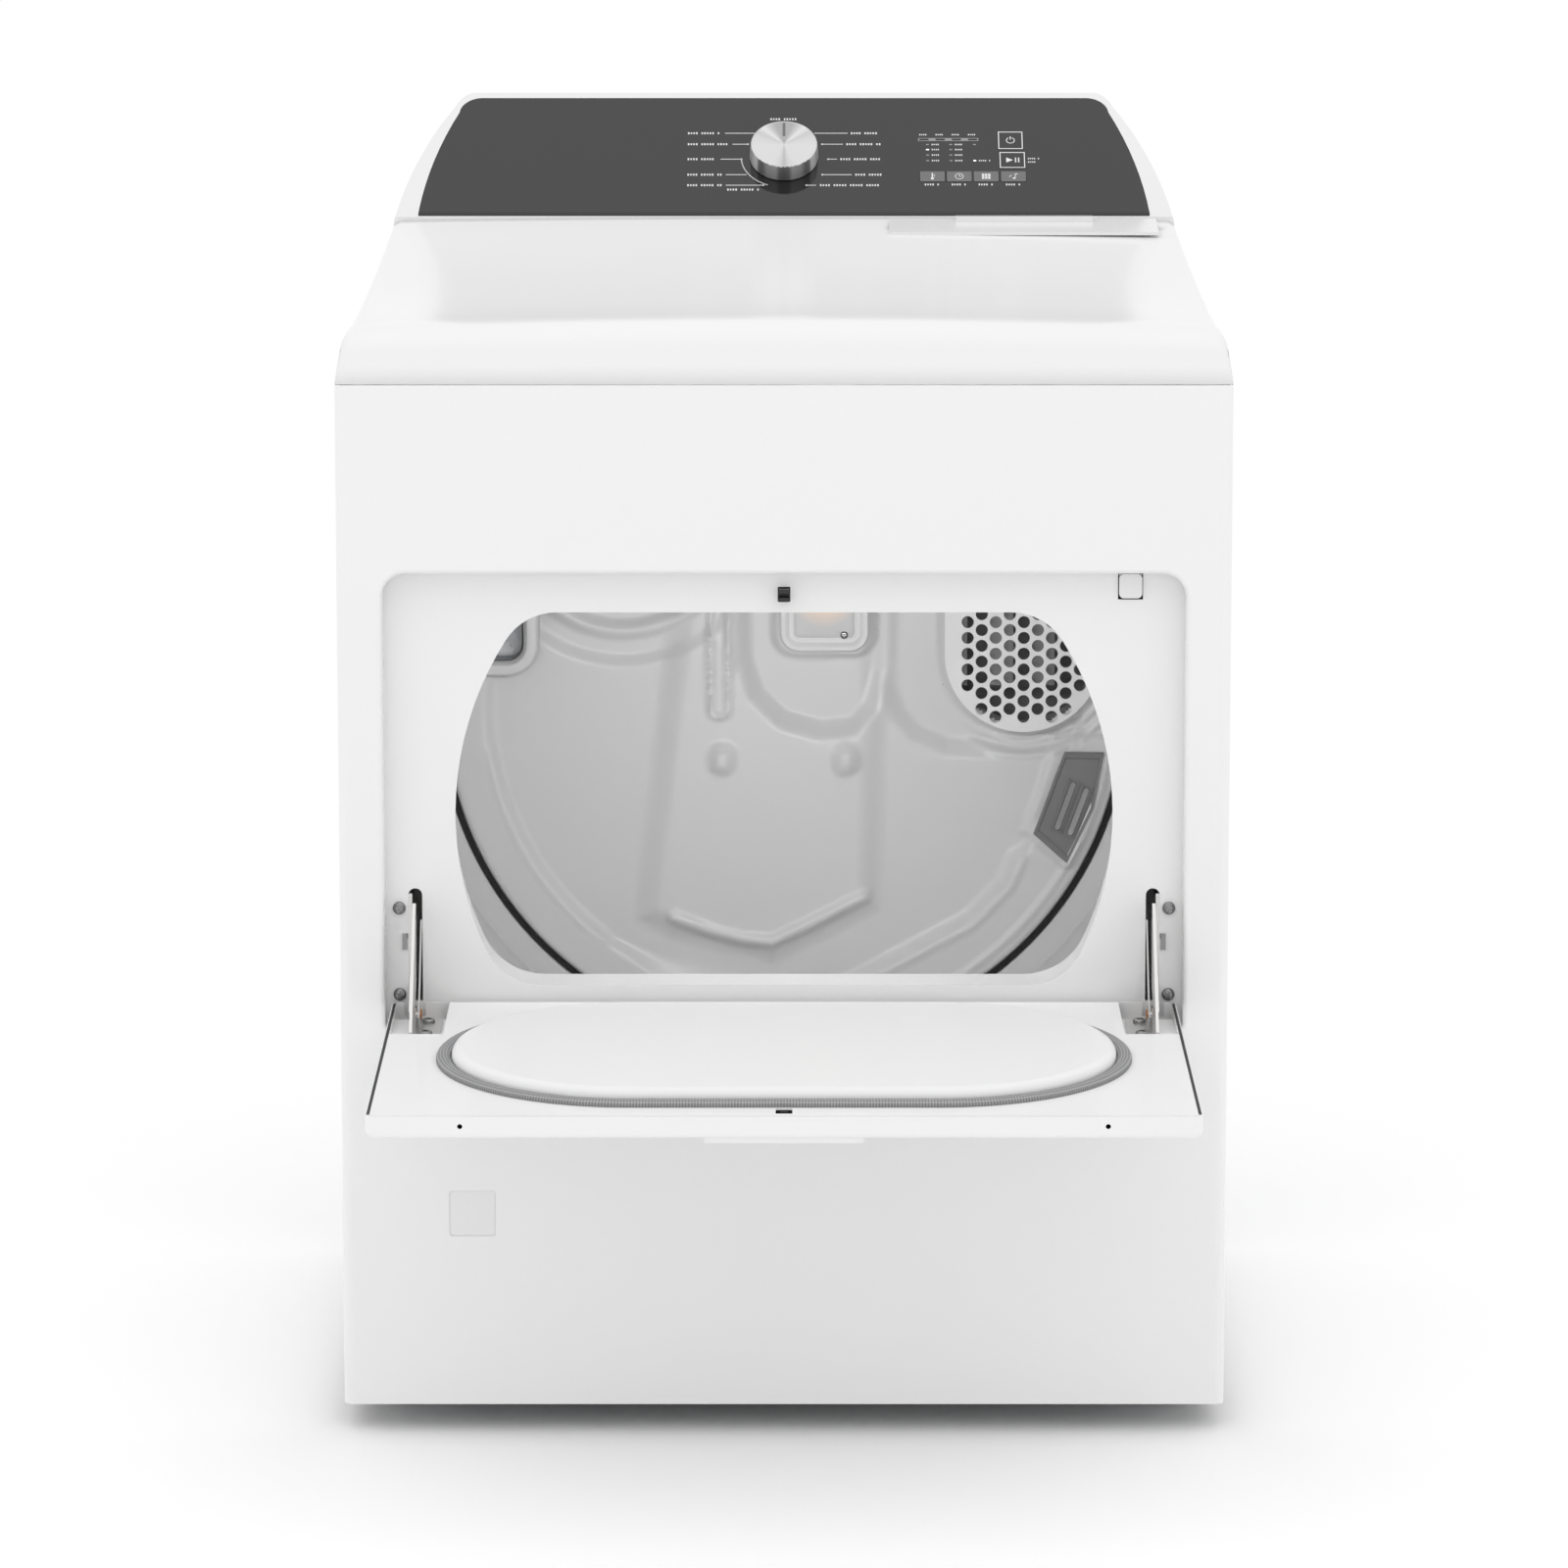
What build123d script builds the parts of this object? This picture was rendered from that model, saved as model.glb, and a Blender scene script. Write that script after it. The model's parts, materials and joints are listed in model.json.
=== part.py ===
from build123d import *
from math import asin, atan2, cos, degrees, hypot, radians, sin, tan
import os

# A front-loading clothes dryer with a pull-down door, stored with its door open.
# Design frame: x to the right, y back from the front panel's face, z up from the floor.
# place() shifts that frame so that the origin is below the middle of the whole machine.

# Cabinet
HALF_W = 368.3
BASE_Z = 25.0
CABINET_TOP = 879.5
CABINET_DEPTH = 700.0
SHEET = 1.0
EDGE_R = 9.0
FLANGE = 28.0
GAP = 0.4

# Door recess in the front panel, and the opening in its back
RECESS_HALF_W = 330.7
RECESS_LOW, RECESS_HIGH = 342.3, 724.2
RECESS_R, RECESS_FOOT_R = 20.0, 6.0
RECESS_DEPTH = 24.0
OPENING_R, OPENING_Z = 272.5, 520.0
OPENING_LOW, OPENING_HIGH = 377.0, 689.5
OPENING_CORNER_R = 50.0
SLOT_X = (300.6, 312.2)
SLOT_Z = (364.0, 458.6)
PLUG_X, PLUG_Z, PLUG_SIZE = -259.5, 188.0, 38.4

# Door, as it stands when shut
DOOR_HALF_W = 325.5
DOOR_LOW, DOOR_HIGH = 345.4, 721.4
DOOR_THICK = 18.0
HINGE_Y, HINGE_Z = 9.0, 354.4
DOOR_OPEN = 93.2
PLATE_W, PLATE_H, PLATE_RISE = 534.0, 294.0, 12.0
PLATE_Z = 534.4
SEAL_WIDTH, SEAL_RISE = 12.0, 5.6
POCKET_X = (278.0, 322.0)
POCKET_TOP = 456.0
ARM_X = (305.0, 307.5)
LUG_X = (309.0, 311.5)
PIN_R = 3.5
RUNNING = 0.05
CATCH_Z = 704.5

# Drum and the two bulkheads that carry it
DRUM_Z = 533.0
DRUM_R = 339.0
DRUM_FRONT, DRUM_BACK = 118.0, 588.0
FRONT_LIP_R, REAR_LIP_R = 306.0, 316.0
COLLAR_R = 300.0
BULKHEAD_HALF_W = 355.0
FRONT_BULKHEAD_Y = 108.0
THROAT_MARGIN = 6.0
REAR_BULKHEAD_Y = 612.0
PLUG_R, PLUG_FRONT = 310.0, 582.0
BAFFLE_ANGLES = (30, 150, 270)
BAFFLE_RISE = 56.0
BAFFLE_Y = (240.0, 566.0)
GRILLE_X, GRILLE_Z, GRILLE_R = 218.6, 582.4, 72.0
HOLE_R, HOLE_COLUMNS, HOLE_ROWS = 5.5, 12.8, 14.5
ROLLER_R, ROLLER_ANGLES = 20.0, (225, 315)

# Drive
MOTOR_X, MOTOR_Z = 215.0, 135.0
MOTOR_R = 68.0
SHAFT_R = 8.0
PULLEY_R = 10.0
BELT_Y, BELT_W, BELT_T = 301.0, 10.0, 1.5
BELT_CLEAR = 0.6
IDLER_R = 25.0
IDLER_PIVOT_X, IDLER_PIVOT_Z = 60.0, 62.0
BLOWER_R, BLOWER_Y = 100.0, (508.0, 592.0)
EXHAUST_X, EXHAUST_Z, EXHAUST_R = 30.0, 92.0, 50.8
COLLAR_Y = (701.0, 715.0)

# Lint screen and its chute behind the rear bulkhead
TILT = 28.5
SCREEN_X = (103.0, 327.0)
SCREEN_Y, SCREEN_Z, SCREEN_L = 546.0, 974.0, 285.0
CHUTE_X = (98.0, 332.0)
CHUTE_LOW = 70.0
COVER_X, COVER_Y = (94.0, 334.0), (500.0, 553.0)
CHUTE_BACK = 696.0

# Top panel and console
LIP_TOP = 917.5
DECK_FRONT_Y, DECK_FRONT_Z = 20.0, 931.0
CONSOLE_Y, DECK_BACK_Z = 575.0, 980.0
LEDGE_Z = 958.0
FACE_ANGLE = 40.3
CONSOLE_TOP, CONSOLE_BACK = 1086.0, 705.0
CONSOLE_WALL = 2.5
KNOB_V, KNOB_R, KNOB_H = 77.7, 31.0, 18.0
BUTTONS = {
    "power_button": (206.4, 100.0, 22.8, 23.2),
    "start_button": (207.6, 74.1, 23.5, 21.0),
    "temperature_button": (134.6, 52.7, 22.6, 13.0),
    "time_button": (159.0, 52.7, 22.6, 13.0),
    "options_button": (183.4, 52.7, 22.6, 13.0),
    "signal_button": (208.2, 52.7, 22.6, 13.0),
}

# Leveling feet
FOOT_X, FOOT_Y = 330.0, (125.0, 655.0)
FOOT_R, STEM_R, STEM_TOP = 20.0, 5.0, 62.0

# The open door reaches this far in front of the cabinet
DOOR_REACH = (DOOR_HIGH - HINGE_Z) * sin(radians(DOOR_OPEN)) - HINGE_Y
DOOR_REACH -= (DOOR_THICK - HINGE_Y) * cos(radians(DOOR_OPEN))
FRONT_Y = (DOOR_REACH - COLLAR_Y[1]) / 2


def box(x, y, z):
    """A block from three (low, high) pairs."""
    middle = ((x[0] + x[1]) / 2, (y[0] + y[1]) / 2, (z[0] + z[1]) / 2)
    return Pos(*middle) * Box(x[1] - x[0], y[1] - y[0], z[1] - z[0])


def rod(radius, y, x=0.0, z=DRUM_Z):
    """A cylinder along y."""
    return Pos(x, (y[0] + y[1]) / 2, z) * Rot(90, 0, 0) * Cylinder(radius, y[1] - y[0])


def ring(outer, inner, y, x=0.0, z=DRUM_Z):
    """A tube along y."""
    return rod(outer, y, x, z) - rod(inner, (y[0] - 1, y[1] + 1), x, z)


def cross_rod(radius, x, y, z):
    """A cylinder along x."""
    return Pos((x[0] + x[1]) / 2, y, z) * Rot(0, 90, 0) * Cylinder(radius, x[1] - x[0])


def slab(outline, y):
    """An outline in x and z, drawn out along y."""
    return extrude(Plane((0, y[1], 0), (1, 0, 0), (0, -1, 0)) * outline, y[1] - y[0])


def prism(points, x):
    """An outline of (y, z) points, drawn out along x."""
    plane = Plane((x[0], 0, 0), (0, 1, 0), (1, 0, 0))
    return extrude(plane * make_face(Polyline(*points, close=True)), x[1] - x[0])


def mirrored(shape):
    """The shape and its mirror image across the middle of the machine."""
    return Compound([*shape.solids(), *mirror(shape, Plane.YZ).solids()])


def group(shapes):
    """Separate solids kept in one node."""
    return Compound([solid for shape in shapes for solid in shape.solids()])


def both(x):
    """A (low, high) pair on the right and its mirror on the left."""
    return (x, (-x[1], -x[0]))


# Cabinet

def opening_outline(margin=0.0):
    """The round-sided opening, flat at its top and bottom, or a form that much larger."""
    height = OPENING_HIGH - OPENING_LOW + 2 * margin
    band = Pos(0, (OPENING_LOW + OPENING_HIGH) / 2) * Rectangle(4 * OPENING_R, height)
    outline = Pos(0, OPENING_Z) * Circle(OPENING_R + margin) & band
    return fillet(outline.vertices(), OPENING_CORNER_R + margin)


def pressing(inset):
    """The front panel's outer form, or with an inset the form of its inner face."""
    deep = FLANGE + (1.0 if inset else 0.0)
    high = CABINET_TOP + (1.0 if inset else 0.0)
    sides = (-HALF_W + inset, HALF_W - inset)
    form = box(sides, (inset, deep), (BASE_Z + inset, high))
    corners = form.edges().filter_by(Axis.Z).group_by(Axis.Y)[0]
    form = fillet(corners, EDGE_R - inset)
    recess = Pos(0, (RECESS_LOW + RECESS_HIGH) / 2) * Rectangle(
        2 * (RECESS_HALF_W + inset), RECESS_HIGH - RECESS_LOW + 2 * inset)
    recess = fillet(recess.vertices().group_by(Axis.Y)[-1], RECESS_R + inset)
    recess = fillet(recess.vertices().group_by(Axis.Y)[0], RECESS_FOOT_R + inset)
    form -= slab(recess, (-5, RECESS_DEPTH + inset))
    front = form.faces().filter_by(Axis.Y).sort_by(Axis.Y)[0]
    form = fillet(front.inner_wires()[0].edges(), 4.0 - inset)
    return form


def front_panel():
    panel = pressing(0) - pressing(SHEET)
    through = (RECESS_DEPTH - 2, RECESS_DEPTH + 4)
    panel -= slab(opening_outline(), through)
    for x in both(SLOT_X):
        width = x[1] - x[0]
        middle = (x[0] + x[1]) / 2
        panel -= box(x, through, (SLOT_Z[0], SLOT_Z[1] - width / 2))
        panel -= rod(width / 2, through, middle, SLOT_Z[1] - width / 2)
        for z in (369.2, 442.0):
            panel -= rod(2.6, through, (319.8 if middle > 0 else -319.8), z)
    panel -= box((-5.2, 5.2), through, (CATCH_Z - 6.2, CATCH_Z + 6.2))
    panel -= box((275.6, 296.2), through, (700.2, 723.0))
    panel -= slab(Pos(PLUG_X, PLUG_Z) * RectangleRounded(PLUG_SIZE, PLUG_SIZE, 3), (-1, 3))
    return panel


def inspection_plug():
    """A push-in plastic plug over the inspection port."""
    face = Pos(PLUG_X, PLUG_Z) * RectangleRounded(PLUG_SIZE - GAP, PLUG_SIZE - GAP, 2.8)
    ledge = Pos(PLUG_X, PLUG_Z) * RectangleRounded(PLUG_SIZE + 6, PLUG_SIZE + 6, 4)
    return slab(face, (0.5, SHEET)) + slab(ledge, (SHEET, SHEET + 2))


def side_panel():
    outer = box((348, HALF_W), (FLANGE + GAP, 698), (BASE_Z + 1, CABINET_TOP))
    outer = fillet(outer.edges().filter_by(Axis.Z).group_by(Axis.X)[-1], 3.0)
    inner = box((340, HALF_W - SHEET), (FLANGE + GAP + SHEET, 698 - SHEET), (0, 900))
    inner = fillet(inner.edges().filter_by(Axis.Z).group_by(Axis.X)[-1], 3.0 - SHEET)
    return outer - inner


def rear_panel():
    panel = box((-366, 366), (CABINET_DEPTH - SHEET, CABINET_DEPTH), (BASE_Z + 2, CABINET_TOP))
    around = (690, 710)
    panel -= rod(EXHAUST_R + 1.2, around, EXHAUST_X, EXHAUST_Z)
    panel -= rod(14, around, 0, 742)
    for row in range(6):
        for x in (-300, -245):
            slot = Pos(x, 90 + 14 * row) * SlotOverall(44, 5)
            panel -= slab(slot, around)
    return panel


def base_pan():
    """A pressed tray with a boss over each leveling foot."""
    low = BASE_Z + 2
    pan = box((-347.5, 347.5), (SHEET + GAP, 696), (low, 40))
    pan -= box((-346, 346), (SHEET + GAP + 1.5, 694.5), (low + 1.5, 70))
    for x in (-FOOT_X, FOOT_X):
        for y in FOOT_Y:
            pan += Pos(x, y, low + 9) * Cylinder(14, 18)
            pan -= Pos(x, y, low + 9) * Cylinder(STEM_R + RUNNING, 40)
    return pan


def leveling_foot(x, y):
    """A threaded stem on a round pad, which screws down out of its boss."""
    pad = Pos(x, y, 4) * Cylinder(FOOT_R, 8)
    pad = chamfer(pad.edges().group_by(Axis.Z)[-1], 2)
    nut = extrude(Pos(x, y, 8) * RegularPolygon(9, 6), 6)
    stem = Pos(x, y, (8 + STEM_TOP) / 2) * Cylinder(STEM_R, STEM_TOP - 8)
    return pad + nut + stem


# Bulkheads, drum and air path

def front_bulkhead():
    """The throat behind the door opening, and the collar that the drum's lip turns on."""
    y = (FRONT_BULKHEAD_Y, FRONT_BULKHEAD_Y + SHEET)
    plate = box((-BULKHEAD_HALF_W, BULKHEAD_HALF_W), y, (190, 872))
    plate += slab(opening_outline(THROAT_MARGIN + SHEET), (RECESS_DEPTH + SHEET, y[1]))
    plate -= slab(opening_outline(THROAT_MARGIN), (0, 200))
    return plate + ring(COLLAR_R, COLLAR_R - SHEET, (y[0], DRUM_FRONT + 16))


def drum_seals():
    """Felt rings between the drum's lips and the bulkheads."""
    front = ring(FRONT_LIP_R - 0.3, COLLAR_R, (DRUM_FRONT - 4, DRUM_FRONT + 14))
    rear = ring(REAR_LIP_R - 0.3, PLUG_R, (DRUM_BACK - 4, DRUM_BACK + 14))
    return group([front, rear])


def grille_outline(margin=0.0):
    """A half-round foot under straight sides, cut by the bulkhead's round edge."""
    radius = GRILLE_R - margin
    shape = Pos(GRILLE_X, GRILLE_Z) * Circle(radius)
    shape += Pos(GRILLE_X, GRILLE_Z + 32 - margin / 2) * Rectangle(2 * radius, 64 - margin)
    return shape & Pos(0, DRUM_Z) * Circle(296 - margin)


def lamp_outline(margin=0.0):
    return Pos(36.8, 620) * RectangleRounded(78 - 2 * margin, 68 - 2 * margin, 16 - margin)


def rear_bulkhead():
    """A pressed panel whose round plug stands inside the drum's rear lip."""
    plate_y = (REAR_BULKHEAD_Y, REAR_BULKHEAD_Y + SHEET)
    panel = box((-BULKHEAD_HALF_W, BULKHEAD_HALF_W), plate_y, (190, 872))
    panel -= rod(PLUG_R - SHEET, (0, 700))
    panel -= box((CHUTE_X[0] - 3, CHUTE_X[1] + 3), (600, 620), (826, 880))
    plug = rod(PLUG_R, (PLUG_FRONT, REAR_BULKHEAD_Y + SHEET))
    plug = fillet(plug.edges().group_by(Axis.Y)[0], 6)
    hollow = rod(PLUG_R - SHEET, (PLUG_FRONT + SHEET, REAR_BULKHEAD_Y + 5))
    hollow = fillet(hollow.edges().group_by(Axis.Y)[0], 6 - SHEET)
    panel += plug - hollow
    front = (PLUG_FRONT - 20, PLUG_FRONT + 10)
    panel -= slab(grille_outline(4), front)
    panel -= slab(lamp_outline(6), front)
    panel -= slab(Pos(-265, 640) * RectangleRounded(56, 130, 16), front)
    boss = ring(112, 88, (PLUG_FRONT - 5, PLUG_FRONT), -146.8, 702)
    boss = fillet(boss.edges().group_by(Axis.Y)[0], 3)
    panel += boss
    for x in (-56, 56):
        panel += rod(13, (PLUG_FRONT - 5, PLUG_FRONT), x, 482)
    for angle in ROLLER_ANGLES:
        panel += rod(5, (548, REAR_BULKHEAD_Y), *roller_place(angle))
    return panel


def roller_place(angle):
    """Where a support roller stands, just clear of the drum's skin."""
    reach = DRUM_R + ROLLER_R + 0.3
    return reach * cos(radians(angle)), DRUM_Z + reach * sin(radians(angle))


def drum_roller(angle):
    return ring(ROLLER_R, 5 + RUNNING, (553, 577), *roller_place(angle))


def drum_shell():
    """A rolled steel cylinder with an inward flange at each end."""
    y = (DRUM_FRONT, DRUM_BACK)
    shell = ring(DRUM_R, DRUM_R - SHEET, y)
    shell += ring(DRUM_R, FRONT_LIP_R, (y[0], y[0] + SHEET))
    shell += ring(DRUM_R, REAR_LIP_R, (y[1] - SHEET, y[1]))
    return shell


def drum_baffles():
    """Three hollow lifters along the drum's wall."""
    inside = rod(DRUM_R - SHEET, (0, 700))
    lifters = []
    for angle in BAFFLE_ANGLES:
        low = DRUM_R - SHEET - BAFFLE_RISE
        outline = make_face(Polyline(
            (low, -14), (low, 14), (DRUM_R + 4, 44), (DRUM_R + 4, -44), close=True))
        rounded = fillet(outline.vertices().group_by(Axis.X)[0], 10)
        turned = Pos(0, DRUM_Z) * Rot(0, 0, angle) * rounded
        hollow = slab(offset(turned, -3), (BAFFLE_Y[0] + 3, BAFFLE_Y[1] - 3))
        lifters.append((slab(turned, BAFFLE_Y) - hollow) & inside)
    return group(lifters)


def outlet_grille():
    """The perforated plate in front of the lint chute."""
    plate = slab(grille_outline(), (PLUG_FRONT - 2.5, PLUG_FRONT))
    holes = []
    for column in range(-5, 6):
        for row in range(-5, 5):
            x = GRILLE_X + HOLE_COLUMNS * column
            z = GRILLE_Z + HOLE_ROWS * (row + (0.5 if column % 2 else 0))
            if hole_fits(x, z):
                holes.append(rod(HOLE_R, (PLUG_FRONT - 5, PLUG_FRONT + 5), x, z))
    return plate - holes


def hole_fits(x, z):
    """Whether a hole lies inside the grille's foot, its sides and the plug's round edge."""
    reach = hypot(x - GRILLE_X, min(z - GRILLE_Z, 0))
    return reach < GRILLE_R - 8 and z < GRILLE_Z + 56 and hypot(x, z - DRUM_Z) < 287


def lamp_lens():
    """The clear cover over the drum lamp."""
    return slab(lamp_outline(), (PLUG_FRONT - 3, PLUG_FRONT))


def lamp_bulb():
    bulb = Pos(36.8, 600, 628) * Sphere(9)
    base = rod(6, (606, 622), 36.8, 628)
    return bulb + base


def sensor_outline():
    return make_face(Polyline(
        (256.3, 491.7), (292, 491.7), (283, 440), (259, 389.3), (228.5, 416.3), close=True))


def moisture_sensor():
    """The plastic holder of the moisture sensor, low on the right of the bulkhead."""
    holder = slab(sensor_outline(), (PLUG_FRONT - 6, PLUG_FRONT))
    return fillet(holder.edges().group_by(Axis.Y)[0], 2)


def sensor_strips():
    """Two metal strips that the clothes touch."""
    strips = []
    for x, z in ((257, 442.7), (269, 437.5)):
        strip = Pos(x, z) * Rot(0, 0, 70) * SlotOverall(46, 5)
        strips.append(slab(strip, (PLUG_FRONT - 8, PLUG_FRONT - 6)))
    return group(strips)


def heater_box():
    outer = box((-335, -120), (624, 690), (560, 835))
    inner = box((-334, -121), (620, 689), (550, 834))
    return outer - inner


def heating_element():
    """Coiled resistance wire strung along the heater box."""
    coils = []
    for z in (620, 690, 760):
        path = Helix(pitch=14, height=170, radius=14)
        start = Plane(path @ 0, z_dir=path % 0)
        coil = sweep(start * Circle(1.4), path)
        coils.append(Pos(-312, 657, z) * Rot(0, 90, 0) * coil)
    return group(coils)


def chute_profile(inset):
    """The chute's side view: a tall box that leans forward up to the deck."""
    slope = tan(radians(TILT))
    front, back = 614.5 + inset, CHUTE_BACK - inset
    lean_front = SCREEN_Y - 11 + inset
    lean_back = SCREEN_Y + 11 - inset
    high = 950 + (5 if inset else 0)

    def lean(start, z):
        return start + slope * (SCREEN_Z - z)

    return [
        (front, CHUTE_LOW + inset),
        (back, CHUTE_LOW + inset),
        (back, SCREEN_Z - (back - lean_back) / slope),
        (lean(lean_back, high), high),
        (lean(lean_front, high), high),
        (front, SCREEN_Z - (front - lean_front) / slope),
    ]


def lint_chute():
    """The duct that holds the lint screen and leads down to the blower."""
    chute = prism(chute_profile(0), CHUTE_X)
    chute -= prism(chute_profile(1.5), (CHUTE_X[0] + 1.5, CHUTE_X[1] - 1.5))
    chute -= slab(grille_outline(6) & Pos(218, 560) * Rectangle(200, 400), (610, 620))
    chute -= rod(50, (610, 620), MOTOR_X, MOTOR_Z)
    return chute


def tilted(low, high, x, thick):
    """A board in the lint screen's own plane, between two distances below the deck."""
    board = box(x, (-thick / 2, thick / 2), (-high, -low))
    return Pos(0, SCREEN_Y, SCREEN_Z) * Rot(TILT, 0, 0) * board


def lint_screen_frame():
    """The slide-out screen's frame, with the cover that lies on the deck."""
    frame = tilted(-3, SCREEN_L, SCREEN_X, 7)
    windows = 3
    pitch = (SCREEN_X[1] - SCREEN_X[0] - 6) / windows
    for index in range(windows):
        left = SCREEN_X[0] + 6 + index * pitch
        frame -= tilted(22, SCREEN_L - 8, (left, left + pitch - 6), 20)
    front, back = COVER_Y
    front_z, back_z = deck_height(front) + 1, deck_height(back) + 0.8
    cover = prism([(front, front_z), (back, back_z), (back, back_z + 3.4), (front, front_z + 3)],
                  COVER_X)
    grip = prism([(back - 14, back_z), (back, back_z), (back, back_z + 6), (back - 14, back_z + 6)],
                 (154, 277))
    return frame + cover + grip


def lint_screen_mesh():
    """The fine mesh across the frame's windows."""
    windows = 3
    pitch = (SCREEN_X[1] - SCREEN_X[0] - 6) / windows
    panes = []
    for index in range(windows):
        left = SCREEN_X[0] + 6 + index * pitch
        panes.append(tilted(22, SCREEN_L - 8, (left, left + pitch - 6), 1))
    return group(panes)


# Drive

def motor_housing():
    shell = rod(MOTOR_R, (334, 476), MOTOR_X, MOTOR_Z)
    shell = fillet(shell.edges(), 8)
    shell -= rod(MOTOR_R - 8, (342, 468), MOTOR_X, MOTOR_Z)
    return shell - rod(SHAFT_R + RUNNING, (300, 500), MOTOR_X, MOTOR_Z)


def motor_mount():
    """The motor's cradle, and beside it the post that the idler arm turns on."""
    low = BASE_Z + 3.5
    cradle = box((MOTOR_X - 62, MOTOR_X + 62), (345, 465), (low, 92))
    cradle -= rod(MOTOR_R, (300, 500), MOTOR_X, MOTOR_Z)
    cradle -= box((MOTOR_X - 54, MOTOR_X + 54), (353, 457), (low + 3, 92))
    post = box((IDLER_PIVOT_X - 20, MOTOR_X - 40), (316, 350), (low, low + 4))
    post += box((IDLER_PIVOT_X - 20, IDLER_PIVOT_X + 20), (316, 320), (low, IDLER_PIVOT_Z + 16))
    post += rod(5, (300, 318), IDLER_PIVOT_X, IDLER_PIVOT_Z)
    return cradle + post


def motor_shaft():
    """The motor's shaft with the small belt pulley at its front end."""
    shaft = rod(SHAFT_R, (288, 590), MOTOR_X, MOTOR_Z)
    shaft += rod(PULLEY_R, (BELT_Y - 7, BELT_Y + 7), MOTOR_X, MOTOR_Z)
    for y in (BELT_Y - 9, BELT_Y + 7):
        shaft += rod(PULLEY_R + 4, (y, y + 2), MOTOR_X, MOTOR_Z)
    return shaft


def blower_wheel():
    """A drum of forward-curved blades on the motor's rear shaft."""
    wheel = rod(80, (516, 519), MOTOR_X, MOTOR_Z)
    wheel += rod(16, (516, 560), MOTOR_X, MOTOR_Z)
    wheel += ring(80, 66, (574, 577), MOTOR_X, MOTOR_Z)
    for index in range(24):
        blade = Pos(73, 0) * Rot(0, 0, 35) * Rectangle(15, 1.6)
        turned = Pos(MOTOR_X, MOTOR_Z) * Rot(0, 0, 15 * index) * blade
        wheel += slab(turned, (518, 575))
    return wheel - rod(SHAFT_R, (500, 600), MOTOR_X, MOTOR_Z)


def volute(inset):
    """The blower's scroll, joined to the outlet box on its left."""
    y = (BLOWER_Y[0] + inset, BLOWER_Y[1] - inset)
    scroll = rod(BLOWER_R - inset, y, MOTOR_X, MOTOR_Z)
    outlet = box((EXHAUST_X - 56 + inset, MOTOR_X), y, (EXHAUST_Z - 56 + inset, 148 - inset))
    return scroll + outlet


def blower_housing():
    housing = volute(0) - volute(2)
    housing -= rod(50, (580, 600), MOTOR_X, MOTOR_Z)
    housing += ring(52, 50, (590, 614.5), MOTOR_X, MOTOR_Z)
    housing -= rod(EXHAUST_R - 2, (580, 600), EXHAUST_X, EXHAUST_Z)
    return housing - rod(SHAFT_R + 3, (500, 515), MOTOR_X, MOTOR_Z)


def exhaust_pipe():
    """A thin duct from the blower, with a collar that stands out behind the rear panel."""
    wall, step = 0.8, 1.4
    duct_r = EXHAUST_R - step
    duct = ring(duct_r, duct_r - wall, (BLOWER_Y[1], COLLAR_Y[0]), EXHAUST_X, EXHAUST_Z)
    shoulder = ring(EXHAUST_R, duct_r - wall, (COLLAR_Y[0], COLLAR_Y[0] + wall), EXHAUST_X, EXHAUST_Z)
    return duct + shoulder + ring(EXHAUST_R, EXHAUST_R - wall, COLLAR_Y, EXHAUST_X, EXHAUST_Z)


def belt_loop(extra):
    """The belt's path round the drum and the motor pulley, grown by extra."""
    clear = BELT_CLEAR + extra
    circles = [Pos(0, DRUM_Z) * Circle(DRUM_R + clear)]
    circles.append(Pos(MOTOR_X, MOTOR_Z) * Circle(PULLEY_R + clear))
    return make_hull([edge for circle in circles for edge in circle.edges()])


def drive_belt():
    y = (BELT_Y - BELT_W / 2, BELT_Y + BELT_W / 2)
    return slab(belt_loop(BELT_T), y) - slab(belt_loop(0), (y[0] - 1, y[1] + 1))


def idler_place():
    """The idler's centre, just below the belt's lower run."""
    run_x, run_z = MOTOR_X, MOTOR_Z - DRUM_Z
    length = hypot(run_x, run_z)
    lean = asin((DRUM_R - PULLEY_R) / length)
    heading = atan2(run_z, run_x) - (radians(90) - lean)
    out_x, out_z = cos(heading), sin(heading)
    along_x, along_z = out_z, -out_x
    off = PULLEY_R + 2 * BELT_CLEAR + BELT_T + IDLER_R
    return MOTOR_X + off * out_x + 90 * along_x, MOTOR_Z + off * out_z + 90 * along_z


def idler_arm():
    """A flat arm with the idler pulley's pin at its free end."""
    x, z = idler_place()
    angle = degrees(atan2(z - IDLER_PIVOT_Z, x - IDLER_PIVOT_X))
    reach = hypot(x - IDLER_PIVOT_X, z - IDLER_PIVOT_Z)
    middle = ((x + IDLER_PIVOT_X) / 2, (z + IDLER_PIVOT_Z) / 2)
    arm = slab(Pos(*middle) * Rot(0, 0, angle) * SlotCenterToCenter(reach, 24), (308.5, 312))
    arm += rod(4, (293, 309), x, z)
    return arm - rod(5 + RUNNING, (300, 320), IDLER_PIVOT_X, IDLER_PIVOT_Z)


def idler_pulley():
    x, z = idler_place()
    pulley = rod(IDLER_R, (295, 307), x, z)
    return pulley - rod(4 + RUNNING, (290, 310), x, z)


def idler_spring():
    """The coil spring that pulls the idler arm up against the belt."""
    path = Helix(pitch=5, height=60, radius=6)
    start = Plane(path @ 0, z_dir=path % 0)
    coil = sweep(start * Circle(1), path)
    x, z = idler_place()
    return Pos(x - 20, 300, BASE_Z + 5) * coil


# Top panel and console

def deck_height(y):
    """Height of the deck's surface, a shallow curve that rises to the console."""
    share = (y - DECK_FRONT_Y) / (CONSOLE_Y - DECK_FRONT_Y)
    return DECK_FRONT_Z + (DECK_BACK_Z - DECK_FRONT_Z) * share ** 2


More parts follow.
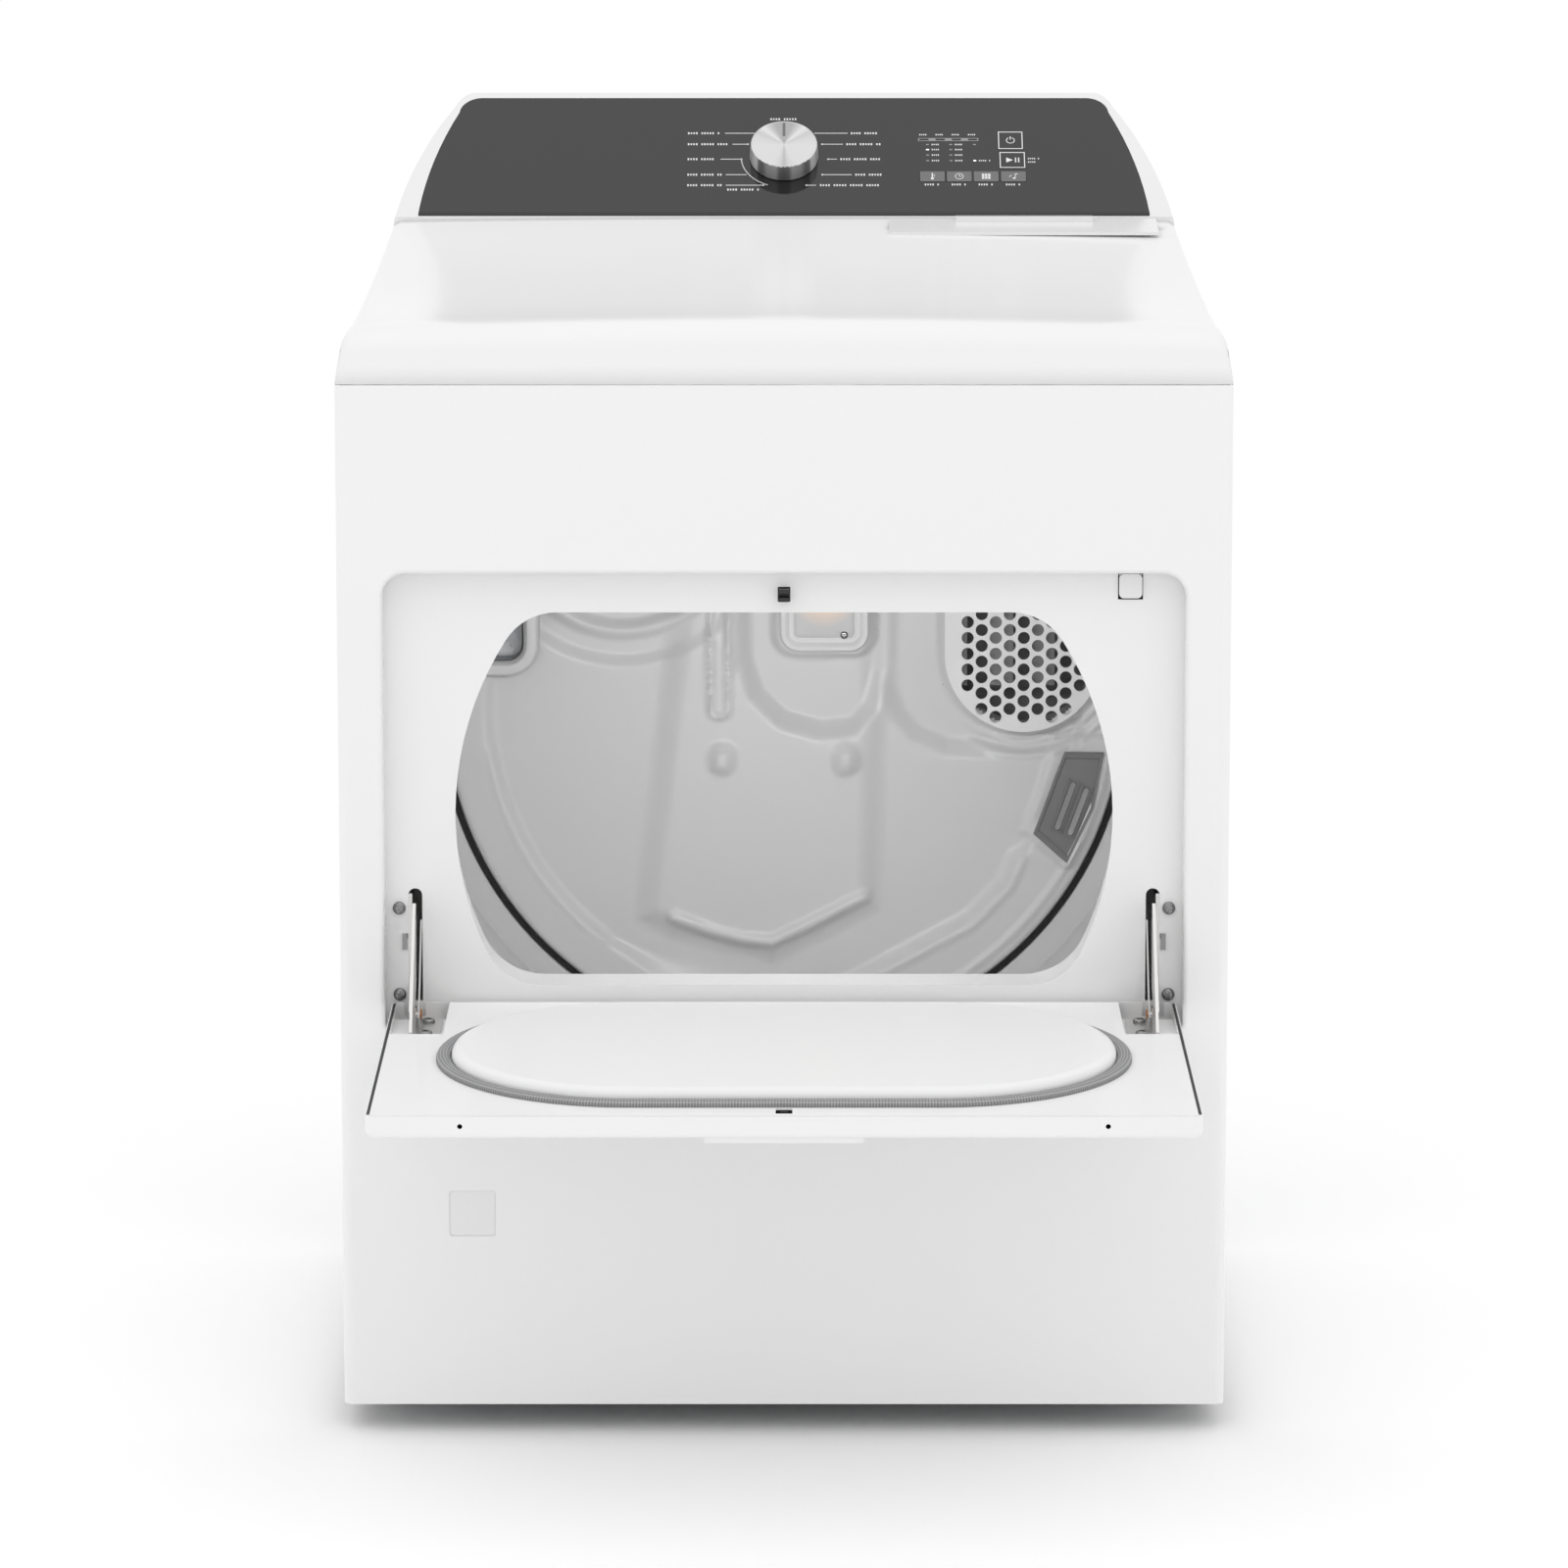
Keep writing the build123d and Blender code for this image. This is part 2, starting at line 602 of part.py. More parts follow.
def deck_form(inset):
    """The top panel's outer form, or with an inset the form of its inner face."""
    low = CABINET_TOP + 0.5 - (2 if inset else 0)
    end = 702 - inset
    middle_y = (DECK_FRONT_Y + CONSOLE_Y) / 2
    run = [
        Line((inset, low), (inset, LIP_TOP - 4)),
        ThreePointArc((inset, LIP_TOP - 4), (6 + inset * 0.7, 927 - inset * 0.7),
                      (DECK_FRONT_Y, DECK_FRONT_Z - inset)),
        ThreePointArc((DECK_FRONT_Y, DECK_FRONT_Z - inset), (middle_y, deck_height(middle_y) - inset),
                      (CONSOLE_Y - inset, DECK_BACK_Z - inset)),
        Line((CONSOLE_Y - inset, DECK_BACK_Z - inset), (CONSOLE_Y - inset, LEDGE_Z - inset)),
        Line((CONSOLE_Y - inset, LEDGE_Z - inset), (end, LEDGE_Z - inset)),
        Line((end, LEDGE_Z - inset), (end, low)),
        Line((end, low), (inset, low)),
    ]
    plane = Plane((-400, 0, 0), (0, 1, 0), (1, 0, 0))
    body = extrude(plane * make_face(run), 800)
    wide, shoulder, narrow = HALF_W - inset, 361.8 - inset, 352.3 - inset
    sides = Polyline(
        (-wide, low), (-shoulder, LIP_TOP), (-narrow, DECK_BACK_Z + 5),
        (narrow, DECK_BACK_Z + 5), (shoulder, LIP_TOP), (wide, low), close=True)
    return body & slab(make_face(sides), (-1, 720))


def top_panel():
    panel = deck_form(0) - deck_form(1.2)
    mouth = box((SCREEN_X[0] - 3, SCREEN_X[1] + 3), (SCREEN_Y - 9, SCREEN_Y + 6), (940, 1000))
    return panel - mouth


FACE = Plane(
    (0, CONSOLE_Y, DECK_BACK_Z), (1, 0, 0),
    (0, -sin(radians(FACE_ANGLE)), cos(radians(FACE_ANGLE))))


def on_face(outline, low, high):
    """An outline on the sloping face, between two heights along its normal."""
    return extrude(FACE.offset(low) * outline, high - low)


def end_outline(inset):
    """The console's front view: its ends curve in towards the top."""
    wide, shoulder, top = 352 - inset, 301 - inset, CONSOLE_TOP - inset
    low = LEDGE_Z - 10
    right = [
        Line((wide, low), (wide, 975)),
        ThreePointArc((wide, 975), (329 - inset, 1034), (shoulder, 1074 - inset)),
        ThreePointArc((shoulder, 1074 - inset), (295 - inset, 1081.5 - inset), (284 - inset, top)),
    ]
    left = [mirror(edge, Plane.YZ) for edge in right]
    cap = Line((284 - inset, top), (inset - 284, top))
    foot = Line((-wide, low), (wide, low))
    return make_face([*right, cap, *left, foot])


def console_form(inset):
    low = LEDGE_Z + 0.4 - (2 if inset else 0)
    lift = inset / cos(radians(FACE_ANGLE))
    crest_y = CONSOLE_Y + (CONSOLE_TOP - DECK_BACK_Z) / tan(radians(FACE_ANGLE))
    points = [
        (CONSOLE_Y + 0.4 + inset, low), (CONSOLE_Y + 0.4 + inset, DECK_BACK_Z + 0.3 - lift + inset),
        (crest_y, CONSOLE_TOP - lift), (CONSOLE_BACK - inset, CONSOLE_TOP - lift),
        (CONSOLE_BACK - inset, low)]
    return prism(points, (-360, 360)) & slab(end_outline(inset), (560, 720))


def fascia_outline(margin=0.0):
    """The black panel: wider at its foot, with rounded top corners."""
    low, wide, top = 1.5 + margin, 330 - margin, 157 - margin
    right = [
        Line((wide, low), (wide, low + 4)),
        ThreePointArc((wide, low + 4), (316.5 - margin, 80), (297 - margin, 138)),
        ThreePointArc((297 - margin, 138), (291 - margin, 151 - margin), (278 - margin, top)),
    ]
    left = [mirror(edge, Plane.YZ) for edge in right]
    cap = Line((278 - margin, top), (margin - 278, top))
    foot = Line((-wide, low), (wide, low))
    return make_face([*right, cap, *left, foot])


def console_housing():
    housing = console_form(0) - console_form(CONSOLE_WALL)
    housing -= on_face(fascia_outline(5), -20, 10)
    return housing - on_face(fascia_outline(), -2.5, 10)


def console_fascia():
    """The glossy black control panel, with holes for the knob and the keys."""
    panel = on_face(fascia_outline(0.3), -2.4, 0)
    panel -= on_face(Pos(0, KNOB_V) * Circle(6), -5, 5)
    for x, v, width, height in BUTTONS.values():
        panel -= on_face(Pos(x, v) * RectangleRounded(width + 0.8, height + 0.8, 1.2), -5, 5)
    return panel


def button(name):
    x, v, width, height = BUTTONS[name]
    return on_face(Pos(x, v) * RectangleRounded(width, height, 1), -8, 0.5)


def cycle_knob():
    """The selector knob and its stub shaft."""
    knob = on_face(Pos(0, KNOB_V) * Circle(KNOB_R), 0.6, KNOB_H)
    knob = chamfer(knob.edges().filter_by(GeomType.CIRCLE), 0.8)
    return knob + on_face(Pos(0, KNOB_V) * Circle(3), -10, 1.4)


def control_board():
    """The board behind the fascia, with the knob's encoder and a switch under each key."""
    board = on_face(Pos(90, 72) * Rectangle(290, 76), -14, -12.4)
    board += on_face(Pos(0, KNOB_V) * Rectangle(15, 15), -12.4, -3.5)
    board -= on_face(Pos(0, KNOB_V) * Circle(3 + RUNNING), -10.5, 0)
    for x, v, *_ in BUTTONS.values():
        board += on_face(Pos(x, v) * Rectangle(6, 6), -12.4, -9.6)
    for x, v in ((-40, 60), (60, 90), (60, 50)):
        board += on_face(Pos(x, v) * Rectangle(18, 12), -12.4, -7)
    posts = [on_face(Pos(x, v) * Circle(3), -12.4, -2.4) for x in (-48, 228) for v in (40, 104)]
    for post in posts:
        board += post
    return board


def terminal_block():
    block = box((-40, 40), (672, CABINET_DEPTH - SHEET), (775, 812))
    for x in (-24, 0, 24):
        block -= box((x - 8, x + 8), (670, 684), (780, 807))
        block += rod(4, (680, 686), x, 794)
    return block


# Door: modelled shut, then swung open about its hinge pins

def open_door(shape):
    lowered = Pos(0, -HINGE_Y, -HINGE_Z) * shape
    return Pos(0, HINGE_Y, HINGE_Z) * Rot(DOOR_OPEN, 0, 0) * lowered


def door_outer_panel():
    sides = (-DOOR_HALF_W, DOOR_HALF_W)
    outer = box(sides, (0, DOOR_THICK), (DOOR_LOW, DOOR_HIGH))
    outer = fillet(outer.edges().filter_by(Axis.Y), 9)
    outer = fillet(outer.faces().sort_by(Axis.Y)[0].edges(), 5)
    inner = box((sides[0] + SHEET, sides[1] - SHEET), (SHEET, 30),
                (DOOR_LOW + SHEET, DOOR_HIGH - SHEET))
    inner = fillet(inner.edges().filter_by(Axis.Y), 9 - SHEET)
    inner = fillet(inner.faces().sort_by(Axis.Y)[0].edges(), 5 - SHEET)
    panel = outer - inner
    lip = prism([(0, 706), (-4.5, 711), (-4.5, 716.4), (0.5, 716.4), (0.5, 706)], (-62, 62))
    panel += lip
    for x in both((298, 316)):
        panel -= box(x, (6, 30), (DOOR_LOW - 1, DOOR_LOW + 5))
    for x in (-251.7, 251.7):
        panel -= Pos(x, 10, DOOR_HIGH) * Cylinder(2, 12)
    return panel


def stadium(width, height):
    return Pos(0, PLATE_Z) * RectangleRounded(width, height, height / 2 - 0.5)


def door_inner_panel():
    """The door's inner face, with a pocket for each hinge arm."""
    margin = SHEET + 0.8
    low, high = DOOR_LOW + margin, DOOR_HIGH - margin
    face = box((margin - DOOR_HALF_W, DOOR_HALF_W - margin), (16.8, DOOR_THICK), (low, high))
    face = fillet(face.edges().filter_by(Axis.Y), 7)
    for x in both(POCKET_X):
        tray = box((x[0] - SHEET, x[1] + SHEET), (8.8, 17), (374, POCKET_TOP + SHEET))
        face += tray
        face -= box(x, (10, 20), (375.2, POCKET_TOP))
        face -= box(x, (0, 20), (low - 1, 375.2))
    return face - box((-6.5, 6.5), (10, 20), (CATCH_Z - 7.5, CATCH_Z + 7.5))


def door_plate():
    """The raised oval plate that fills the opening when the door is shut."""
    plate = slab(stadium(PLATE_W, PLATE_H), (DOOR_THICK, DOOR_THICK + PLATE_RISE))
    plate = fillet(plate.faces().sort_by(Axis.Y)[-1].edges(), 8)
    inner = slab(stadium(PLATE_W - 3, PLATE_H - 3), (DOOR_THICK, DOOR_THICK + PLATE_RISE - 1.5))
    return plate - fillet(inner.faces().sort_by(Axis.Y)[-1].edges(), 6.5)


def door_seal():
    """The soft woven seal round the plate."""
    wide, high = PLATE_W + 1, PLATE_H + 1
    outer = slab(stadium(wide + 2 * SEAL_WIDTH, high + 2 * SEAL_WIDTH),
                 (DOOR_THICK, DOOR_THICK + SEAL_RISE))
    return outer - slab(stadium(wide, high), (DOOR_THICK - 1, DOOR_THICK + SEAL_RISE + 1))


def strike():
    """The cup behind the inner face and the tongue that the catch grips."""
    cup = box((-7.7, 7.7), (7, 16.8), (CATCH_Z - 8.7, CATCH_Z + 8.7))
    cup -= box((-6.5, 6.5), (8.2, 20), (CATCH_Z - 7.5, CATCH_Z + 7.5))
    return cup + box((-3, 3), (8, 17.5), (CATCH_Z - 1.2, CATCH_Z + 1.2))


def hinge_arm():
    """A flat steel arm that swings through its slot, with its hub on the pin and its foot."""
    outline = [(1, 0), (1, 76), (95, 0), (92, -16), (26, 4), (12, 26), (6, 0)]
    points = [(HINGE_Y + y, HINGE_Z + z) for y, z in outline]
    arm = prism(points, ARM_X) + cross_rod(7.4, ARM_X, HINGE_Y, HINGE_Z)
    foot = box((282, ARM_X[1]), (10, 12.5), (380, 446))
    for z in (392, 434):
        foot += rod(4.4, (12, 14.4), 293, z)
    return arm + foot - cross_rod(PIN_R + RUNNING, (290, 320), HINGE_Y, HINGE_Z)


def hinge_arms():
    return mirrored(hinge_arm())


def hinge_bracket():
    """The bracket behind the front panel; its lug comes through the slot to the pin."""
    back = RECESS_DEPTH + SHEET
    lug = prism([(60, 366), (60, 452), (back, 452), (back, 384), (14, 368), (4, 358),
                 (4, 351), (14, 351), (20, 366)], LUG_X)
    foot = box((LUG_X[0], 336), (back, back + 2.5), (364, 454))
    pin = cross_rod(PIN_R, (302, LUG_X[1]), HINGE_Y, HINGE_Z)
    bracket = lug + foot + pin
    for z in (369.2, 442.0):
        bracket -= rod(2.6, (20, 40), 319.8, z)
    return bracket


def hinge_brackets():
    return mirrored(hinge_bracket())


def bracket_screws():
    """Pan-head screws that hold the hinge brackets to the front panel."""
    screws = []
    for x in (-319.8, 319.8):
        for z in (369.2, 442.0):
            head = rod(5.4, (RECESS_DEPTH - 3.2, RECESS_DEPTH), x, z)
            head = fillet(head.edges().group_by(Axis.Y)[0], 2)
            cross = box((x - 2.6, x + 2.6), (18, 22.4), (z - 0.5, z + 0.5))
            cross += box((x - 0.5, x + 0.5), (18, 22.4), (z - 2.6, z + 2.6))
            screws.append(head - cross + rod(2.5, (RECESS_DEPTH - 1, 31), x, z))
    return group(screws)


def door_catch():
    """Two sprung jaws that grip the door's tongue."""
    catch = box((-8, 8), (RECESS_DEPTH + SHEET, 31), (CATCH_Z - 7, CATCH_Z + 12))
    for side in (-1, 1):
        low, high = sorted((CATCH_Z + side * 1.8, CATCH_Z + side * 5.1))
        catch += box((-4.05, 4.05), (13, 28), (low, high))
    return catch


def door_switch_body():
    """The switch behind the recess, with the pin of its lever."""
    body = box((272, 300), (34, 48), (694, 722))
    for x in ((272, 274), (298, 300)):
        body += box(x, (26, 36), (712, 722))
    return body + cross_rod(1.5, (272, 300), 30, 718)


def door_switch_lever():
    """The white tab that the door presses as it shuts."""
    pad = Pos(285.9, 711.6) * RectangleRounded(19, 20, 4)
    lever = slab(pad, (20.5, 29))
    lever += cross_rod(3.4, (276.4, 295.4), 30, 718)
    return lever - cross_rod(1.5 + RUNNING, (270, 300), 30, 718)


def place(shape):
    """From the design frame to the part's own frame."""
    return Pos(0, FRONT_Y, 0) * shape


def build():
    nodes = {
        "side_panel_right": side_panel(),
        "side_panel_left": mirror(side_panel(), Plane.YZ),
        "rear_panel": rear_panel(),
        "base_pan": base_pan(),
        "front_panel": front_panel(),
        "inspection_plug": inspection_plug(),
        "front_bulkhead": front_bulkhead(),
        "rear_bulkhead": rear_bulkhead(),
        "drum_seals": drum_seals(),
        "drum_shell": drum_shell(),
        "drum_baffles": drum_baffles(),
        "outlet_grille": outlet_grille(),
        "lamp_lens": lamp_lens(),
        "lamp_bulb": lamp_bulb(),
        "moisture_sensor": moisture_sensor(),
        "sensor_strips": sensor_strips(),
        "heater_box": heater_box(),
        "heating_element": heating_element(),
        "lint_chute": lint_chute(),
        "lint_screen_frame": lint_screen_frame(),
        "lint_screen_mesh": lint_screen_mesh(),
        "motor_housing": motor_housing(),
        "motor_mount": motor_mount(),
        "motor_shaft": motor_shaft(),
        "blower_wheel": blower_wheel(),
        "blower_housing": blower_housing(),
        "exhaust_pipe": exhaust_pipe(),
        "drive_belt": drive_belt(),
        "idler_arm": idler_arm(),
        "idler_pulley": idler_pulley(),
        "idler_spring": idler_spring(),
        "top_panel": top_panel(),
        "console_housing": console_housing(),
        "console_fascia": console_fascia(),
        "cycle_knob": cycle_knob(),
        "control_board": control_board(),
        "terminal_block": terminal_block(),
        "hinge_brackets": hinge_brackets(),
        "bracket_screws": bracket_screws(),
        "door_catch": door_catch(),
        "door_switch_body": door_switch_body(),
        "door_switch_lever": door_switch_lever(),
        "door_outer_panel": open_door(door_outer_panel()),
        "door_inner_panel": open_door(door_inner_panel()),
        "door_plate": open_door(door_plate()),
        "door_seal": open_door(door_seal()),
        "door_strike": open_door(strike()),
        "hinge_arms": open_door(hinge_arms()),
    }
    for name in BUTTONS:
        nodes[name] = button(name)
    for side, angle in zip(("left", "right"), ROLLER_ANGLES):
        nodes[f"drum_roller_{side}"] = drum_roller(angle)
    for end, y in zip(("front", "rear"), FOOT_Y):
        nodes[f"leveling_foot_{end}_left"] = leveling_foot(-FOOT_X, y)
        nodes[f"leveling_foot_{end}_right"] = leveling_foot(FOOT_X, y)
    return nodes


os.makedirs("parts", exist_ok=True)
for node, shape in build().items():
    export_step(place(shape), f"parts/{node}.step")
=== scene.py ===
import json
from math import cos, pi, radians, sin

import bmesh
import bpy
import numpy as np
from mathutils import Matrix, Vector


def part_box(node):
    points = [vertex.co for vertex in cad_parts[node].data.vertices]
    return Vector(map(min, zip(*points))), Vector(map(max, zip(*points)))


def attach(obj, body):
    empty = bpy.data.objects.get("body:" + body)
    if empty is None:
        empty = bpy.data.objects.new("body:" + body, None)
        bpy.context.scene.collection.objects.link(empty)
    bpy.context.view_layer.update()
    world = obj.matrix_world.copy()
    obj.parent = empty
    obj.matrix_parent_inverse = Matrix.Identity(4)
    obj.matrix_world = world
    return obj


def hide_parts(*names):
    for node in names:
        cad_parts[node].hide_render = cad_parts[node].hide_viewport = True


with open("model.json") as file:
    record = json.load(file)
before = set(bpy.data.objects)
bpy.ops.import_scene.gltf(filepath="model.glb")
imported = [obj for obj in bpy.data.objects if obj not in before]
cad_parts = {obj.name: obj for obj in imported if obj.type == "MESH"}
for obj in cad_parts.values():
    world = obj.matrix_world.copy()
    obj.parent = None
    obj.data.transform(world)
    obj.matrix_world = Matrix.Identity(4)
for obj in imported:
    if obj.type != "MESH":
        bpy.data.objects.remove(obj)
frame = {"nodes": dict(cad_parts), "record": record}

bl_info = {
    "name": "Clothes dryer",
    "version": (1, 0, 0),
    "blender": (4, 5, 0),
    "location": "3D View > Sidebar > Dryer",
    "description": "Finishes and detailed parts for a free-standing clothes dryer",
    "category": "Object",
}

# Millimetre sizes below are in the machine's own frame: x to the right, y back from the front
# panel's face, z up from the floor. place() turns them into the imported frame's metres.
MM = 0.001
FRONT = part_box("front_panel")[0].y
HINGE_Y, HINGE_Z = 9.0, 354.4
DOOR_OPEN = radians(93.2)
DRUM_Z = 533.0
PLUG_FRONT, PLUG_FACE_R, PLUG_CORNER = 582.0, 304.0, 6.0
BOWL_R = 270.0
REAR_PLATE_Y = 612.0
ROLLER_REACH = 359.3
FACE_Y, FACE_Z, FACE_ANGLE = 575.0, 980.0, radians(40.3)
KNOB_V = 77.7
SEAL_Y, SEAL_Z = 18.05, 534.4
GRILLE = (218.6, 582.4, 72.0)
LAMP = (36.8, 620.0, 78.0, 68.0, 16.0)
INLET = (-265.0, 640.0, 56.0, 130.0, 16.0)
KEYS = {
    "power_button": (206.4, 100.0),
    "start_button": (207.6, 74.1),
    "temperature_button": (134.6, 52.7),
    "time_button": (159.0, 52.7),
    "options_button": (183.4, 52.7),
    "signal_button": (208.2, 52.7),
}
KEY_PRINT = (0.5, 0.62)
SMALL_KEYS = ("temperature_button", "time_button", "options_button", "signal_button")


# Placing

def place(points):
    """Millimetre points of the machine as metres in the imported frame."""
    moved = np.array(points, float) * MM
    moved[:, 1] += FRONT
    return moved


def swing(points):
    """Points of the shut door, swung down to where the open door lies."""
    out = np.array(points, float)
    y, z = out[:, 1] - HINGE_Y, out[:, 2] - HINGE_Z
    out[:, 1] = HINGE_Y + y * cos(DOOR_OPEN) - z * sin(DOOR_OPEN)
    out[:, 2] = HINGE_Z + y * sin(DOOR_OPEN) + z * cos(DOOR_OPEN)
    return out


def on_face(points):
    """Points given as across, up and out of the console's sloping face."""
    across, up, out = np.array(points, float).T
    y = FACE_Y + up * cos(FACE_ANGLE) - out * sin(FACE_ANGLE)
    z = FACE_Z + up * sin(FACE_ANGLE) + out * cos(FACE_ANGLE)
    return np.column_stack([across, y, z])


def quads(rows, columns, wrap=False, first=0):
    """Faces between neighbouring rows of points, each row closed into a loop if wrap is set."""
    faces = []
    for row in range(rows - 1):
        for column in range(columns if wrap else columns - 1):
            after = (column + 1) % columns
            low, high = first + row * columns, first + (row + 1) * columns
            faces.append((low + column, low + after, high + after, high + column))
    return faces


def prism_faces(count):
    """Faces of a prism between two loops of that many points, with both ends."""
    return quads(2, count, wrap=True) + [tuple(range(count)), tuple(range(count, 2 * count))]


def new_object(name, data):
    """An object for a mesh, light or camera, in the scene."""
    made = bpy.data.objects.new(name, data)
    bpy.context.scene.collection.objects.link(made)
    return made


def clean_mesh(mesh, sharp=None, facing=None, gap=1e-6):
    """Merges a mesh's doubles, turns its faces outwards and shades it smooth."""
    work = bmesh.new()
    work.from_mesh(mesh)
    bmesh.ops.remove_doubles(work, verts=work.verts, dist=gap)
    loose = [vert for vert in work.verts if not vert.link_faces]
    bmesh.ops.delete(work, geom=loose, context="VERTS")
    bmesh.ops.recalc_face_normals(work, faces=work.faces)
    if facing is not None:
        axis, direction = facing
        lean = sum(face.normal[axis] * face.calc_area() for face in work.faces)
        if lean * direction < 0:
            bmesh.ops.reverse_faces(work, faces=work.faces)
    work.to_mesh(mesh)
    work.free()
    mesh.shade_smooth()
    if sharp is not None:
        mesh.set_sharp_from_angle(angle=radians(sharp))


def finish_piece(piece, body, hides=()):
    """Links a finished piece to its body and the parts it stands for."""
    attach(piece, body)
    if hides:
        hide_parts(*hides)
    return piece


def make_piece(name, points, faces, body, slot, hides=(), finish=None, facing=None, sharp=35):
    """A piece from millimetre points, in its slot's finish unless another is named."""
    mesh = bpy.data.meshes.new(name)
    mesh.from_pydata(place(points).tolist(), [], faces)
    clean_mesh(mesh, sharp, facing)
    mesh.materials.append(FINISHES[finish or slot])
    return finish_piece(new_object(name, mesh), body, hides)


def thicken(piece, wall):
    """Gives a sheet its wall, inwards from its outer face."""
    modifier = piece.modifiers.new("Wall", "SOLIDIFY")
    modifier.thickness = wall * MM
    modifier.offset = -1
    return piece


def spin_points(profile, steps, centre=(0.0, 0.0)):
    """A profile of (radius, height) turned about an axis: rows of (across, up, height)."""
    turns = np.arange(steps) * 2 * pi / steps
    rows = []
    for radius, height in profile:
        across = centre[0] + radius * np.sin(turns)
        up = centre[1] + radius * np.cos(turns)
        rows.append(np.column_stack([across, up, np.full(steps, height)]))
    return np.vstack(rows)


def drum_points(profile, steps, centre=(0.0, DRUM_Z)):
    """A profile of (radius, y) turned about an axis along y."""
    across, up, depth = spin_points(profile, steps, centre).T
    return np.column_stack([across, depth, up])


def rounded_loop(shape, outset=0.0, corner_steps=8):
    """A rounded rectangle (x, z, width, height, radius), grown by outset, as a loop of points."""
    x, z, width, height, radius = shape
    radius = max(radius + outset, 0.5)
    half_w, half_h = width / 2 + outset - radius, height / 2 + outset - radius
    points = []
    for corner, (side_x, side_z) in enumerate(((1, 1), (-1, 1), (-1, -1), (1, -1))):
        for step in range(corner_steps + 1):
            angle = (corner + step / corner_steps) * pi / 2
            points.append((x + side_x * half_w + radius * cos(angle),
                           z + side_z * half_h + radius * sin(angle)))
    return np.array(points)


def loft_loops(loops, depths, capped=True):
    """Loops of (x, z) points at their depths, joined, with the last one filled."""
    points = [np.column_stack([loop[:, 0], np.full(len(loop), depth), loop[:, 1]])
              for loop, depth in zip(loops, depths)]
    count = len(loops[0])
    faces = quads(len(loops), count, wrap=True)
    if capped:
        last = (len(loops) - 1) * count
        faces.append(tuple(range(last, last + count)))
    return np.vstack(points), faces


# Distances, used to press shapes into the bulkhead

def from_circle(x, z, circle):
    return np.hypot(x - circle[0], z - circle[1]) - circle[2]


def from_rounded(x, z, shape):
    half_w, half_h, radius = shape[2] / 2, shape[3] / 2, shape[4]
    over_x = np.abs(x - shape[0]) - half_w + radius
    over_z = np.abs(z - shape[1]) - half_h + radius
    outside = np.hypot(np.maximum(over_x, 0), np.maximum(over_z, 0))
    return outside + np.minimum(np.maximum(over_x, over_z), 0) - radius


def from_line(x, z, line):
    """Distance to a run of straight segments."""
    nearest = np.full(np.shape(x), 1e9)
    for (ax, az), (bx, bz) in zip(line, line[1:]):
        run_x, run_z = bx - ax, bz - az
        along = ((x - ax) * run_x + (z - az) * run_z) / (run_x ** 2 + run_z ** 2)
        along = np.clip(along, 0, 1)
        nearest = np.minimum(nearest, np.hypot(x - ax - along * run_x, z - az - along * run_z))
    return nearest


def from_polygon(x, z, corners):
    """Distance to a polygon, negative inside it."""
    inside = np.zeros(np.shape(x), bool)
    closed = list(corners) + [corners[0]]
    for (ax, az), (bx, bz) in zip(closed, closed[1:]):
        crosses = (az > z) != (bz > z)
        rise = bz - az if bz != az else 1e-9
        inside ^= crosses & (x < (bx - ax) * (z - az) / rise + ax)
    return np.where(inside, -1.0, 1.0) * from_line(x, z, closed)


def from_grille(x, z):
    """Distance to the outlet plate: a half-round foot under straight sides, cut by the rim."""
    column = (GRILLE[0], GRILLE[1] + 50, 2 * GRILLE[2], 100, 1)
    shape = np.minimum(from_circle(x, z, GRILLE), from_rounded(x, z, column))
    rim = (0, DRUM_Z, 296)
    return np.maximum(shape, from_circle(x, z, rim))


def ease(share):
    share = np.clip(share, 0, 1)
    return share * share * (3 - 2 * share)


def step_in(distance, height, slope):
    """A raised (or sunk) area with a soft slope of that width round it."""
    return height * ease(0.5 - distance / slope)


def bead(distance, height, width):
    """A rounded rib of that height and half-width."""
    return height * np.square(1 - np.square(np.clip(distance / width, -1, 1)))


def arc(radius, start, end, count):
    """Points along an arc about the drum's axis, between two angles in radians."""
    return [(radius * cos(angle), DRUM_Z + radius * sin(angle))
            for angle in np.linspace(start, end, count)]


